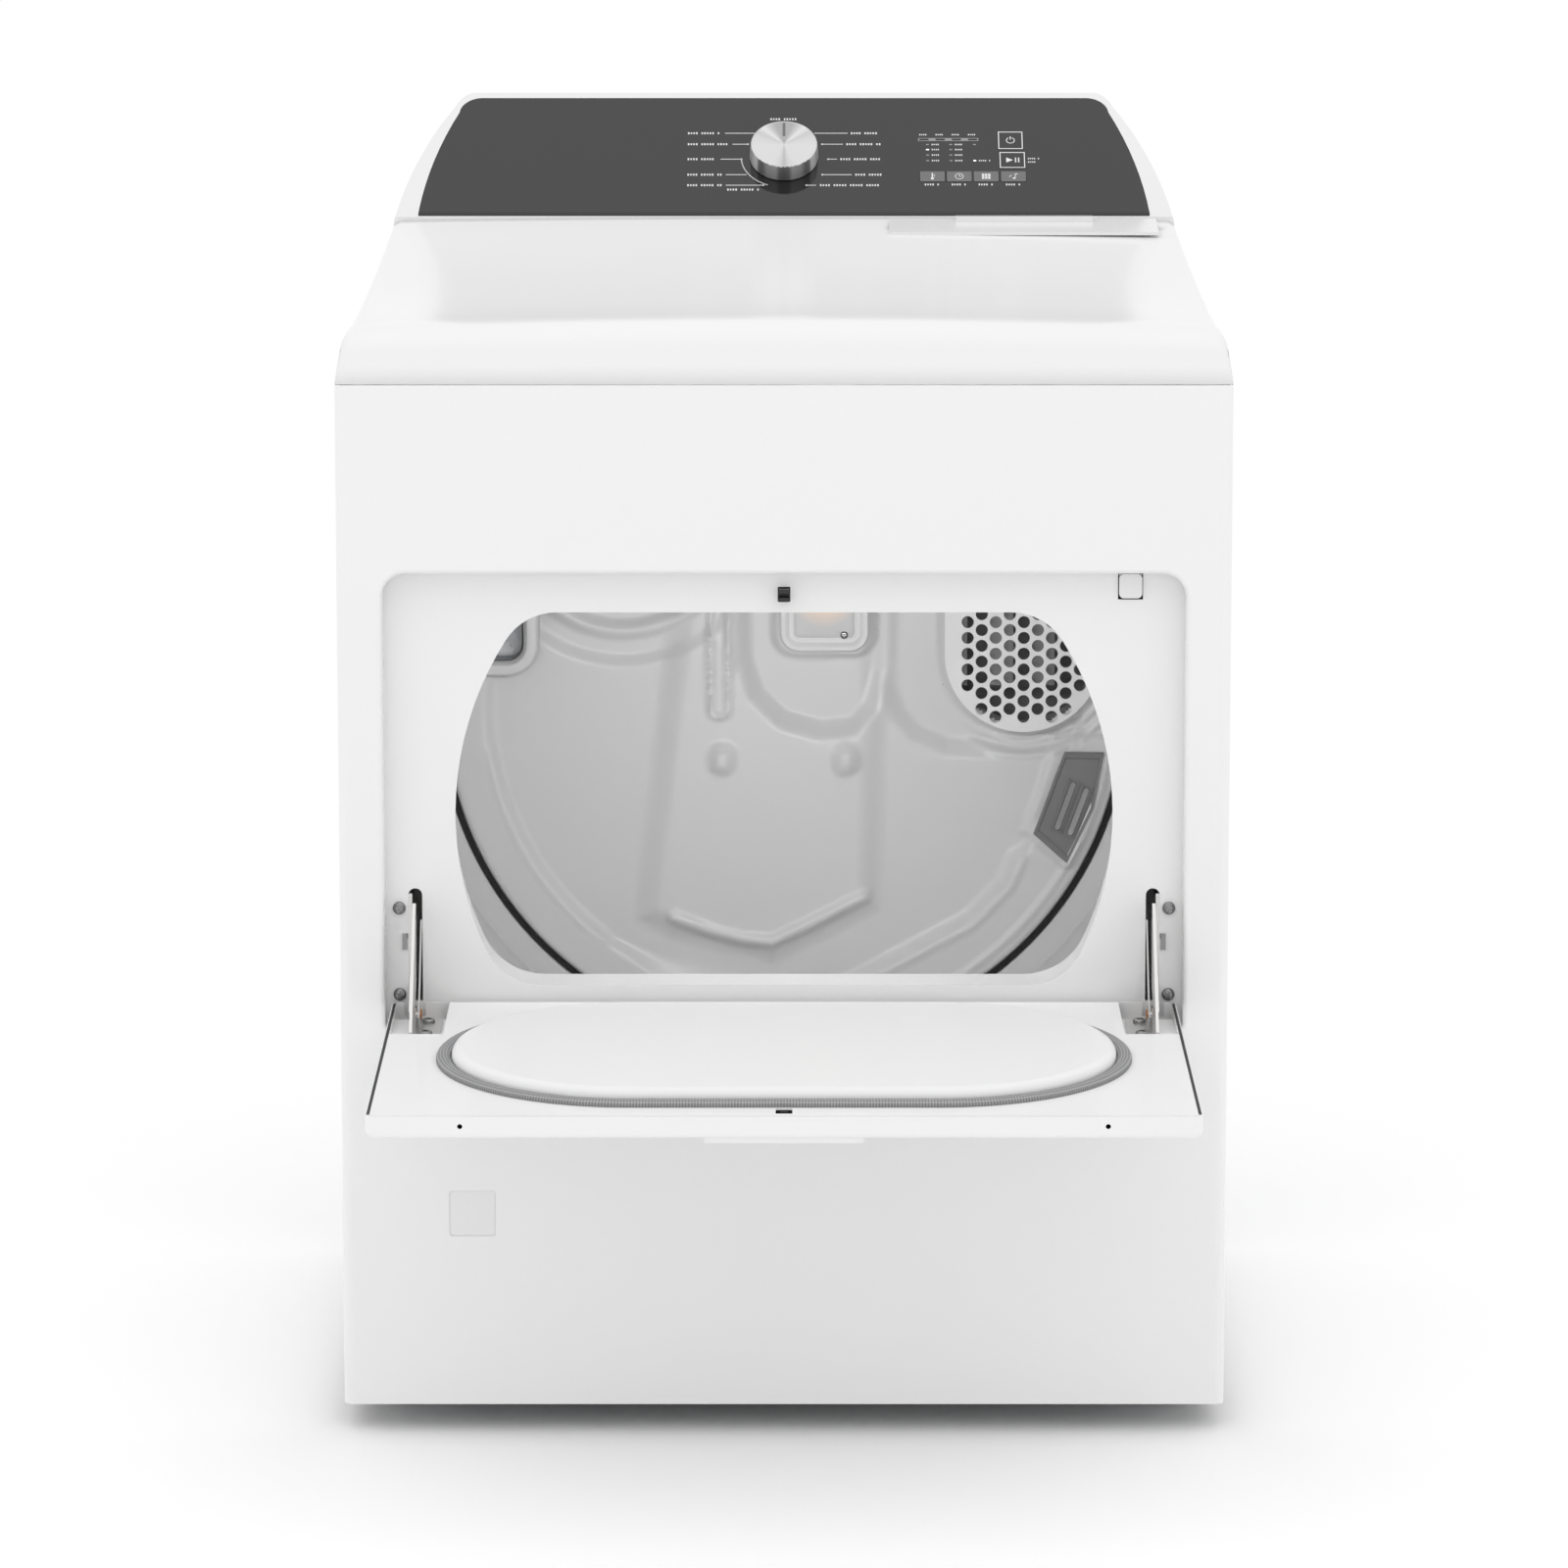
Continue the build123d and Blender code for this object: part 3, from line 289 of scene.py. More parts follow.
def pressing_height(x, z, rise):
    """How far the rear bulkhead's pressed face stands out at each point."""
    reach = np.hypot(x, z - DRUM_Z)
    turn = np.arctan2(z - DRUM_Z, x)
    bowl = arc(BOWL_R, -0.30, 4.08, 60)
    bowl += [(-110, 286), (-40, 262), (55, 272), (171.7, 335.1), (203, 368), (214, 392)]
    foot = ease(1 - np.abs(x + 40) / 120) * ease((340 - z) / 40)
    height = -step_in(from_polygon(x, z, bowl), 8 * rise, 11 + 40 * foot)
    middle = [(-84, 700), (-127, 340), (-100, 328), (-11, 305), (79, 350), (85, 700)]
    height += step_in(from_polygon(x, z, middle), 10 * rise, 30)
    vee = [(-101, 338), (-66, 325), (-40, 318), (-11, 315.4), (18, 329), (75, 358)]
    height += bead(from_line(x, z, vee), 5 * rise, 9)
    height += bead(from_line(x, z, arc(BOWL_R, 4.06, 3.3, 20)), 3 * rise, 7)
    swell = [(55, 272), (171.7, 335.1), (203, 368), (214, 392)]
    height += bead(from_line(x, z, swell), 4 * rise, 12)
    around = [(94.6, 720), (94.6, 551), (104, 524), (120, 507), (150, 494), (262, 490),
              (330, 500), (330, 720)]
    height -= step_in(from_polygon(x, z, around), 9 * rise, 22)
    recess = [(-37, 720), (-37, 576), (-26, 544), (-2, 520), (34, 510), (64, 514), (80, 532),
              (88, 566), (90, 720)]
    height -= step_in(from_polygon(x, z, recess), 15 * rise, 20)
    height += step_in(from_rounded(x, z, (LAMP[0], LAMP[1], 92, 82, 20)), 13 * rise, 8)
    channel = from_line(x, z, [(-59, 720), (-59, 532)])
    height += bead(channel - 8, 4.5 * rise, 5)
    for side in (-56.5, 56.5):
        height += bead(from_line(x, z, [(side, 488), (side, 482)]), 9 * rise, 16)
    ring = from_circle(x, z, (-146.8, 702, 100))
    height += bead(ring, 7 * rise, 11)
    height -= step_in(from_circle(x, z, (-146.8, 702, 128)), 5 * rise, 14)
    lower_right = ease((x - 150) / 60) * ease((560 - z) / 30)
    for grown in (11, 23):
        height += bead(from_grille(x, z) - grown, 3.2 * rise, 6) * lower_right
    height += step_in(from_grille(x, z) - 4, 9 * rise, 8)
    sensor = [(246, 505), (243.5, 489), (219.5, 417), (256, 385.5), (320, 372), (320, 505)]
    height += step_in(from_polygon(x, z, sensor), 5, 5)
    rim = ease((turn + 1.45) / 0.2) * ease((-0.25 - turn) / 0.2)
    height += bead(reach - 297, 2.5 * rise, 4) * rim
    fade = 4
    return np.where(reach > PLUG_FACE_R - fade, height * ease((PLUG_FACE_R - reach) / fade),
                    height)


# Shader building

def add(tree, kind, settings=None, **inputs):
    """A shader node; an input's spaces are written as underscores."""
    node = tree.nodes.new(kind)
    for key, value in (settings or {}).items():
        setattr(node, key, value)
    for key, value in inputs.items():
        connect(tree, node.inputs[key.replace("_", " ")], value)
    return node


def connect(tree, socket, value):
    if isinstance(value, bpy.types.NodeSocket):
        tree.links.new(value, socket)
    else:
        socket.default_value = value


def maths(tree, operation, *values):
    node = tree.nodes.new("ShaderNodeMath")
    node.operation = operation
    for socket, value in zip(node.inputs, values):
        connect(tree, socket, value)
    return node.outputs[0]


def blend_colour(tree, share, low, high, kind="MIX"):
    node = tree.nodes.new("ShaderNodeMix")
    node.data_type = "RGBA"
    node.blend_type = kind
    for socket, value in ((node.inputs[0], share), (node.inputs[6], low), (node.inputs[7], high)):
        connect(tree, socket, value)
    return node.outputs[2]


def new_group(name, inputs, outputs):
    """An empty shader group with named sockets, and its two end nodes."""
    group = bpy.data.node_groups.new(name, "ShaderNodeTree")
    for label, (kind, default) in inputs.items():
        socket = group.interface.new_socket(label, in_out="INPUT", socket_type=kind)
        socket.default_value = default
    for label, kind in outputs.items():
        group.interface.new_socket(label, in_out="OUTPUT", socket_type=kind)
    return group, group.nodes.new("NodeGroupInput"), group.nodes.new("NodeGroupOutput")


COLOUR, NUMBER = "NodeSocketColor", "NodeSocketFloat"


def surface_grain():
    """Slow colour drift, slow gloss drift and a fine height, for paint, plastic and rubber."""
    group, given, result = new_group(
        "Surface grain",
        {"Colour": (COLOUR, (0.8, 0.8, 0.8, 1)), "Drift": (NUMBER, 0.03),
         "Roughness": (NUMBER, 0.3), "Gloss drift": (NUMBER, 0.03), "Grain": (NUMBER, 700.0)},
        {"Colour": COLOUR, "Roughness": NUMBER, "Height": NUMBER})
    where = add(group, "ShaderNodeTexCoord").outputs["Object"]
    slow = add(group, "ShaderNodeTexNoise", Vector=where, Scale=5.0, Detail=3.0).outputs["Fac"]
    fine = add(group, "ShaderNodeTexNoise", Vector=where, Scale=given.outputs["Grain"],
               Detail=2.0).outputs["Fac"]
    swing_of = maths(group, "SUBTRACT", slow, 0.5)
    shade = maths(group, "MULTIPLY_ADD", swing_of, given.outputs["Drift"], 1.0)
    grey = add(group, "ShaderNodeCombineColor", Red=shade, Green=shade, Blue=shade).outputs[0]
    tinted = blend_colour(group, 1.0, given.outputs["Colour"], grey, "MULTIPLY")
    gloss = maths(group, "MULTIPLY_ADD", swing_of, given.outputs["Gloss drift"],
                  given.outputs["Roughness"])
    connect(group, result.inputs["Colour"], tinted)
    connect(group, result.inputs["Roughness"], gloss)
    connect(group, result.inputs["Height"], fine)
    return group


def spangle():
    """The crystal pattern of hot-dip zinc on sheet steel."""
    group, given, result = new_group(
        "Zinc spangle",
        {"Light": (COLOUR, (0.62, 0.63, 0.64, 1)), "Dark": (COLOUR, (0.42, 0.43, 0.45, 1)),
         "Scale": (NUMBER, 90.0)},
        {"Colour": COLOUR, "Roughness": NUMBER, "Height": NUMBER})
    where = add(group, "ShaderNodeTexCoord").outputs["Object"]
    warp = add(group, "ShaderNodeTexNoise", Vector=where, Scale=60.0, Detail=2.0).outputs["Color"]
    bent = blend_colour(group, 0.02, where, warp, "ADD")
    cells = add(group, "ShaderNodeTexVoronoi", Vector=bent, Scale=given.outputs["Scale"])
    share = add(group, "ShaderNodeSeparateColor", Color=cells.outputs["Color"]).outputs[0]
    connect(group, result.inputs["Colour"],
            blend_colour(group, share, given.outputs["Dark"], given.outputs["Light"]))
    connect(group, result.inputs["Roughness"], maths(group, "MULTIPLY_ADD", share, 0.18, 0.32))
    connect(group, result.inputs["Height"], share)
    return group


def weave():
    """Crossed yarns over a piece's own map, for the woven seal and the lint mesh."""
    group, given, result = new_group(
        "Yarn weave",
        {"Light": (COLOUR, (0.5, 0.5, 0.5, 1)), "Dark": (COLOUR, (0.2, 0.2, 0.2, 1)),
         "Yarns": (NUMBER, 1.0)},
        {"Colour": COLOUR, "Height": NUMBER})
    where = add(group, "ShaderNodeTexCoord").outputs["UV"]
    parts = add(group, "ShaderNodeSeparateXYZ", Vector=where)
    turns = maths(group, "MULTIPLY", given.outputs["Yarns"], 2 * pi)
    one = maths(group, "SINE", maths(group, "MULTIPLY", maths(
        group, "ADD", parts.outputs[0], parts.outputs[1]), turns))
    other = maths(group, "SINE", maths(group, "MULTIPLY", maths(
        group, "SUBTRACT", parts.outputs[0], parts.outputs[1]), turns))
    crossed = maths(group, "MULTIPLY_ADD", maths(group, "MULTIPLY", one, other), 0.5, 0.5)
    fuzz = add(group, "ShaderNodeTexNoise", Vector=where, Scale=9.0, Detail=4.0).outputs["Fac"]
    mixed = maths(group, "ADD", maths(group, "MULTIPLY", crossed, 0.7),
                  maths(group, "MULTIPLY", fuzz, 0.3))
    connect(group, result.inputs["Colour"],
            blend_colour(group, mixed, given.outputs["Dark"], given.outputs["Light"]))
    connect(group, result.inputs["Height"], mixed)
    return group


def spun_brushing_with_shine():
    """The spun face: fine brushed lines as height, and painted shine, light and dark sectors
    painted into the colour round its turn; its map runs round, then outwards.
    """
    group, given, result = new_group(
        "Spun brushing with painted shine",
        {"Metal": (COLOUR, (0.7, 0.7, 0.7, 1)), "Lines": (NUMBER, 160.0)},
        {"Colour": COLOUR, "Roughness": NUMBER, "Height": NUMBER})
    # Painted reflection: the face's shade at each share of the way round, light and dark sectors.
    stops = ((0.0, 0.66), (0.05, 0.84), (0.12, 0.92), (0.45, 0.92), (0.62, 0.84), (0.68, 0.76),
             (0.77, 0.98), (0.84, 0.74), (0.9, 0.58), (1.0, 0.56))
    rows = painted_turned_shine(group, given, result, stops, given.outputs["Lines"], 3.0)
    connect(group, result.inputs["Roughness"], maths(group, "MULTIPLY_ADD", rows, 0.12, 0.22))
    return group


def painted_turned_shine(group, given, result, stops, lines, detail=2.0):
    """Painted shine round a turned part, the same on both sides: light and dark reflection bands
    multiplied into the colour, and its fine lines as height.
    """
    parts = add(group, "ShaderNodeSeparateXYZ",
                Vector=add(group, "ShaderNodeTexCoord").outputs["UV"])
    fold = maths(group, "ABSOLUTE", maths(group, "SUBTRACT", parts.outputs[0], 0.5))
    # Painted shine: a ramp of light and dark by the turn round the part.
    ramp = add(group, "ShaderNodeValToRGB", Fac=maths(group, "MULTIPLY", fold, 2.0))
    elements = ramp.color_ramp.elements
    elements[0].position, elements[-1].position = stops[0][0], stops[-1][0]
    for position, _ in stops[1:-1]:
        elements.new(position)
    for element, (_, shade) in zip(elements, stops):
        element.color = grey(shade)
    rows = add(group, "ShaderNodeTexNoise", {"noise_dimensions": "1D"}, Detail=detail,
               Scale=lines, W=parts.outputs[1]).outputs["Fac"]
    connect(group, result.inputs["Colour"],
            blend_colour(group, 1.0, given.outputs["Metal"], ramp.outputs["Color"], "MULTIPLY"))
    connect(group, result.inputs["Height"], rows)
    return rows


def new_material(name):
    """A material with its node tree and its shader."""
    made = bpy.data.materials.new(name)
    made.use_nodes = True
    return made, made.node_tree, made.node_tree.nodes["Principled BSDF"]


def material(name, group, given, constants, bump=(0.1, 0.0002)):
    """A material whose varying values come from a group and whose constants are the shader's."""
    made, tree, shader = new_material(name)
    node = tree.nodes.new("ShaderNodeGroup")
    node.node_tree = group
    for label, value in given.items():
        node.inputs[label].default_value = value
    for label, value in constants.items():
        shader.inputs[label].default_value = value
    tree.links.new(node.outputs["Colour"], shader.inputs["Base Color"])
    if "Roughness" in node.outputs:
        tree.links.new(node.outputs["Roughness"], shader.inputs["Roughness"])
    relief = add(tree, "ShaderNodeBump", Strength=bump[0], Distance=bump[1],
                 Height=node.outputs["Height"])
    tree.links.new(relief.outputs[0], shader.inputs["Normal"])
    return made


def grey(value, warm=0.0):
    return (value * (1 + warm), value, value * (1 - warm), 1)


def make_finishes(paint):
    """Every material of the machine, by its slot."""
    grain, zinc, yarn, spun_shine_group = surface_grain(), spangle(), weave(), spun_brushing_with_shine()
    coated = {"Coat Weight": 0.35, "Coat Roughness": 0.04}
    satin = {"Specular IOR Level": 0.5}

    def painted(name, colour, rough, drift=0.02, constants=None, bump=(0.06, 0.0001), fine=500.0):
        given = {"Colour": colour, "Drift": drift, "Roughness": rough, "Grain": fine}
        return material(name, grain, given, constants or {}, bump)

    def steel(name, colour, rough, fine=900.0):
        return painted(name, colour, rough, 0.12, {"Metallic": 1.0}, (0.15, 0.0001), fine)

    return {
        "cabinet_paint": painted("Cabinet enamel", paint.cabinet, 0.24, constants=coated),
        "deck_enamel": painted("Deck enamel", paint.deck, 0.12,
                               constants={"Specular IOR Level": 0.008}, bump=(0.02, 0.0001)),
        "white_plastic": painted("White plastic", grey(0.79), 0.2, bump=(0.05, 0.0001)),
        "bulkhead_paint": painted("Bulkhead enamel", paint.bulkhead, 0.36, constants=satin),
        "drum_paint": painted("Drum enamel", paint.bulkhead, 0.36, constants=satin),
        "baffle_plastic": painted("Baffle plastic", grey(0.72), 0.4, bump=(0.2, 0.0002)),
        "felt": painted("Black felt", grey(0.012), 0.95, 0.5, {"Sheen Weight": 0.3},
                        (0.9, 0.0008), 1400.0),
        "grille_steel": painted("Outlet plate enamel", grey(0.82), 0.3, constants=coated),
        "sensor_plastic": painted("Sensor plastic", grey(0.21), 0.42, 0.1, None, (0.3, 0.0002),
                                  1200.0),
        "grey_plastic": painted("Grey plastic", grey(0.34), 0.45, 0.06, None, (0.3, 0.0002)),
        "blower_plastic": painted("Blower plastic", grey(0.08), 0.5, 0.1, None, (0.3, 0.0002)),
        "motor_steel": painted("Motor paint", grey(0.06), 0.45, 0.15, None, (0.4, 0.0003), 600.0),
        "belt_rubber": painted("Belt rubber", grey(0.02), 0.6, 0.2, None, (0.5, 0.0003), 900.0),
        "black_rubber": painted("Roller rubber", grey(0.025), 0.65, 0.2, None, (0.5, 0.0003)),
        "fascia_black": painted("Fascia gloss", paint.fascia, 0.07, 0.05, coated, (0.01, 0.0001)),
        "key_black": painted("Black key", paint.fascia, 0.1, 0.05, coated, (0.02, 0.0001)),
        "key_grey": painted("Grey key", grey(0.14), 0.18, 0.05, coated, (0.02, 0.0001)),
        "board_green": painted("Circuit board", (0.012, 0.09, 0.035, 1), 0.4, 0.3),
        "terminal_black": painted("Terminal moulding", grey(0.03), 0.5, 0.1),
        "black_plastic": painted("Black plastic", grey(0.015), 0.35, 0.1, None, (0.3, 0.0002)),
        "foot_plastic": painted("Foot plastic", grey(0.05), 0.5, 0.1, None, (0.3, 0.0002)),
        "bushing": painted("Nylon bushing", (0.42, 0.16, 0.04, 1), 0.45, 0.1),
        "print_white": painted("White print", grey(0.8), 0.5, 0.04),
        "print_grey": painted("Grey print", grey(0.3), 0.5, 0.04),
        "zinc_steel": steel("Zinc plated steel", grey(0.55), 0.3),
        "hinge_steel": steel("Hinge steel", grey(0.62, 0.01), 0.26),
        "sensor_metal": steel("Sensor strip steel", grey(0.75), 0.16),
        "screw_chrome": steel("Screw plating", grey(0.26), 0.18),
        "heater_wire": steel("Resistance wire", grey(0.22, 0.1), 0.45),
        "galvanised": material("Galvanised sheet", zinc, {}, {"Metallic": 0.85}, (0.1, 0.0001)),
        "seal_weave": material("Woven seal", yarn, {
            "Light": paint.seal, "Dark": grey(0.1)}, {"Roughness": 0.9}, (0.9, 0.0012)),
        "mesh_fabric": material("Lint mesh", yarn, {
            "Light": grey(0.3), "Dark": grey(0.05)}, {"Roughness": 0.7}, (0.5, 0.0004)),
        "knob_metal": material("Spun aluminium with painted shine", spun_shine_group, {"Metal": paint.knob}, {
            "Metallic": 1.0, "Anisotropic": 0.6}, (0.12, 0.00005)),
        "lens_plastic": lens_painted_glow_material(),
        "bulb_glass": bulb_material(),
        "lamp_lit": lit_material(),
    }


def bulb_material():
    """Warm glowing glass, its tint mottled."""
    made, tree, shader = new_material("Lamp glass")
    noise = add(tree, "ShaderNodeTexNoise", Scale=120.0, Detail=2.0,
                Vector=add(tree, "ShaderNodeTexCoord").outputs["Object"]).outputs["Fac"]
    tint = blend_colour(tree, noise, (1.0, 0.62, 0.3, 1), (1.0, 0.85, 0.62, 1))
    connect(tree, shader.inputs["Base Color"], tint)
    connect(tree, shader.inputs["Emission Color"], tint)
    shader.inputs["Emission Strength"].default_value = 3.0
    shader.inputs["Roughness"].default_value = 0.2
    return made


def lit_material():
    """A small indicator that is lit, its tint mottled a little."""
    made, tree, shader = new_material("Indicator lit")
    noise = add(tree, "ShaderNodeTexNoise", Scale=300.0,
                Vector=add(tree, "ShaderNodeTexCoord").outputs["Object"]).outputs["Fac"]
    tint = blend_colour(tree, noise, grey(0.85), grey(1.0))
    connect(tree, shader.inputs["Base Color"], tint)
    connect(tree, shader.inputs["Emission Color"], tint)
    shader.inputs["Emission Strength"].default_value = 0.8
    return made


def lens_painted_glow_material():
    """Frosted cover plastic with a painted glow round the lamp behind it: warm colour and
    emission stand in for the lamp's light through the plastic.
    """
    made, tree, shader = new_material("Frosted lens with painted glow")
    where = add(tree, "ShaderNodeTexCoord").outputs["Object"]
    lamp = place([(LAMP[0], 582.0, 640.0)])[0]
    reach = add(tree, "ShaderNodeVectorMath", {"operation": "DISTANCE"}, Vector=where)
    reach.inputs[1].default_value = lamp
    painted_glow_mask = maths(tree, "SUBTRACT", 1.0, maths(tree, "DIVIDE", reach.outputs["Value"], 0.034))
    painted_glow_mask = maths(tree, "MAXIMUM", painted_glow_mask, 0.0)
    frost = add(tree, "ShaderNodeTexNoise", Scale=400.0, Vector=where).outputs["Fac"]
    # Painted glow: base colour turns warm and the lens emits near the lamp.
    warm = blend_colour(tree, painted_glow_mask, grey(0.62), (0.9, 0.62, 0.42, 1))
    lit = blend_colour(tree, painted_glow_mask, grey(0.0), (0.8, 0.5, 0.3, 1))
    connect(tree, shader.inputs["Base Color"], warm)
    connect(tree, shader.inputs["Emission Color"], lit)
    shader.inputs["Emission Strength"].default_value = 0.35
    shader.inputs["Roughness"].default_value = 0.3
    relief = add(tree, "ShaderNodeBump", Strength=0.1, Distance=0.0002, Height=frost)
    tree.links.new(relief.outputs[0], shader.inputs["Normal"])
    return made


FINISHES = {}


# Repeats

def repeat_tree():
    """A node tree that sets a copy of an object on every point, each with its own turn."""
    tree = bpy.data.node_groups.new("Repeat on points", "GeometryNodeTree")
    face = tree.interface
    face.new_socket("Points", in_out="INPUT", socket_type="NodeSocketGeometry")
    face.new_socket("Shape", in_out="INPUT", socket_type="NodeSocketObject")
    face.new_socket("Facing", in_out="INPUT", socket_type="NodeSocketVector")
    face.new_socket("Size", in_out="INPUT", socket_type="NodeSocketFloat").default_value = 1.0
    face.new_socket("Turn", in_out="INPUT", socket_type="NodeSocketFloat").default_value = 0.0
    face.new_socket("Seed", in_out="INPUT", socket_type="NodeSocketInt").default_value = 7
    face.new_socket("Finish", in_out="INPUT", socket_type="NodeSocketMaterial")
    face.new_socket("Geometry", in_out="OUTPUT", socket_type="NodeSocketGeometry")
    given, result = tree.nodes.new("NodeGroupInput"), tree.nodes.new("NodeGroupOutput")
    shape = add(tree, "GeometryNodeObjectInfo", Object=given.outputs["Shape"])
    spread = tree.nodes.new("FunctionNodeRandomValue")
    spread.data_type = "FLOAT"
    spread.inputs[2].default_value = 0.0
    tree.links.new(given.outputs["Turn"], spread.inputs[3])
    tree.links.new(given.outputs["Seed"], spread.inputs["Seed"])
    turn = add(tree, "ShaderNodeCombineXYZ", Z=spread.outputs[1])
    laid = add(tree, "GeometryNodeInstanceOnPoints", Points=given.outputs["Points"],
               Instance=shape.outputs["Geometry"], Rotation=given.outputs["Facing"],
               Scale=given.outputs["Size"])
    turned = add(tree, "GeometryNodeRotateInstances", Instances=laid.outputs[0],
                 Rotation=turn.outputs[0])
    real = add(tree, "GeometryNodeRealizeInstances", Geometry=turned.outputs[0])
    done = add(tree, "GeometryNodeSetMaterial", Geometry=real.outputs[0],
               Material=given.outputs["Finish"])
    tree.links.new(done.outputs[0], result.inputs[0])
    return tree


def repeat(name, shape, points, body, slot, facing=(0, 0, 0), turn=0.0, seed=7, hides=()):
    """A shape set on millimetre points of the machine, made one plain mesh."""
    tree = bpy.data.node_groups.get("Repeat on points") or repeat_tree()
    mesh = bpy.data.meshes.new(name)
    mesh.from_pydata(place(points).tolist(), [], [])
    holder = new_object(name + "_points", mesh)
    modifier = holder.modifiers.new("Repeat", "NODES")
    modifier.node_group = tree
    values = {"Shape": shape, "Facing": facing, "Turn": turn, "Seed": seed,
              "Finish": FINISHES[slot]}
    for item in tree.interface.items_tree:
        if item.in_out == "INPUT" and item.name in values:
            modifier[item.identifier] = values[item.name]
    piece = plain_copy(holder, name)
    bpy.data.objects.remove(holder)
    bpy.data.objects.remove(shape)
    piece.data.set_sharp_from_angle(angle=radians(35))
    return finish_piece(piece, body, hides)


def plain_copy(source, name):
    """The evaluated object as a plain mesh object."""
    bpy.context.view_layer.update()
    graph = bpy.context.evaluated_depsgraph_get()
    mesh = bpy.data.meshes.new_from_object(source.evaluated_get(graph))
    mesh.name = name
    return new_object(name, mesh)


def loose_shape(name, points, faces):
    """A small shape in millimetres about its own origin, for repeating."""
    mesh = bpy.data.meshes.new(name)
    mesh.from_pydata((np.array(points, float) * MM).tolist(), [], faces)
    clean_mesh(mesh, gap=1e-7)
    return new_object(name, mesh)


BLOCK_FACES = [(0, 1, 3, 2), (4, 6, 7, 5), (0, 4, 5, 1), (2, 3, 7, 6), (0, 2, 6, 4),
               (1, 5, 7, 3)]


def block(x, y, z):
    """Points and faces of a block between three (low, high) pairs."""
    return [(a, b, c) for a in x for b in y for c in z], BLOCK_FACES


def gather(parts):
    """Several (points, faces) made into one."""
    points, faces = [], []
    for some_points, some_faces in parts:
        start = len(points)
        points.extend(tuple(point) for point in some_points)
        faces.extend(tuple(start + index for index in face) for face in some_faces)
    return points, faces


def screw_head(radius=5.0, height=3.0):
    """A pan head with a cross recess, standing on z = 0."""
    profile = [(0, 0), (radius, 0), (radius, 0.35 * height), (0.93 * radius, 0.68 * height),
               (0.75 * radius, 0.9 * height), (0.4 * radius, height), (0, height)]
    points = spin_points(profile, 28)
    head = loose_shape("screw_head", points, quads(len(profile), 28, wrap=True))
    arm, reach, floor = 0.11 * radius, 0.55 * radius, 0.45 * height
    one = block((-arm, arm), (-reach, reach), (floor, 2 * height))
    other = block((-reach, reach), (-arm, arm), (floor, 2 * height))
    cutter = loose_shape("screw_recess", *gather([one, other]))
    modifier = head.modifiers.new("Recess", "BOOLEAN")
    modifier.operation = "DIFFERENCE"
    modifier.solver = "EXACT"
    modifier.use_self = True
    modifier.object = cutter
    cut = plain_copy(head, "screw_cut")
    bpy.data.objects.remove(head)
    bpy.data.objects.remove(cutter)
    return cut


# Sizes and colours a user would change

def colour_choice(name, description, red, green, blue):
    return bpy.props.FloatVectorProperty(name=name, description=description, subtype="COLOR",
                                         size=4, default=(red, green, blue, 1))


class DRYER_PG_paint(bpy.types.PropertyGroup):
    cabinet: colour_choice("Cabinet", "Colour of the cabinet and door", 0.83, 0.83, 0.83)
    deck: colour_choice("Deck", "Colour of the deck and the door's inner face", 0.83, 0.83, 0.83)
    bulkhead: colour_choice("Drum", "Colour of the drum and the rear bulkhead", 0.7, 0.7, 0.7)
    fascia: colour_choice("Control panel", "Colour of the control panel", 0.016, 0.016, 0.0165)
    knob: colour_choice("Knob", "Colour of the knob's metal", 0.8, 0.8, 0.8)
    seal: colour_choice("Seal", "Colour of the door seal's yarn", 0.55, 0.55, 0.56)


class DRYER_PG_sizes(bpy.types.PropertyGroup):
    crown: bpy.props.FloatProperty(
        name="Deck crown", description="How much lower the deck's sides are than its middle",
        default=0.007, min=0, max=0.02, unit="LENGTH")
    emboss: bpy.props.FloatProperty(
        name="Bulkhead relief", description="Strength of the shapes pressed into the bulkhead",
        default=1.25, min=0, max=1.3)
    yarn: bpy.props.FloatProperty(
        name="Seal yarn", description="Width of one yarn in the door seal", default=0.0024,
        min=0.001, max=0.01, unit="LENGTH")
    screw: bpy.props.FloatProperty(
        name="Hinge screw", description="Radius of the hinge screws' heads", default=0.0054,
        min=0.003, max=0.007, unit="LENGTH")


class DRYER_PG_stage(bpy.types.PropertyGroup):
    floor: colour_choice("Floor", "Colour of the studio floor", 1.0, 1.0, 1.0)
    sky: bpy.props.FloatProperty(
        name="Room light", description="Strength of the even light from all sides", default=1.0,
        min=0)
    key: bpy.props.FloatProperty(
        name="Overhead light", description="Power of the large overhead light", default=14.0,
        min=0, unit="POWER")
    drum: bpy.props.FloatProperty(
        name="Drum light", description="Power of the light inside the drum", default=1.75, min=0,
        unit="POWER")


# Operators

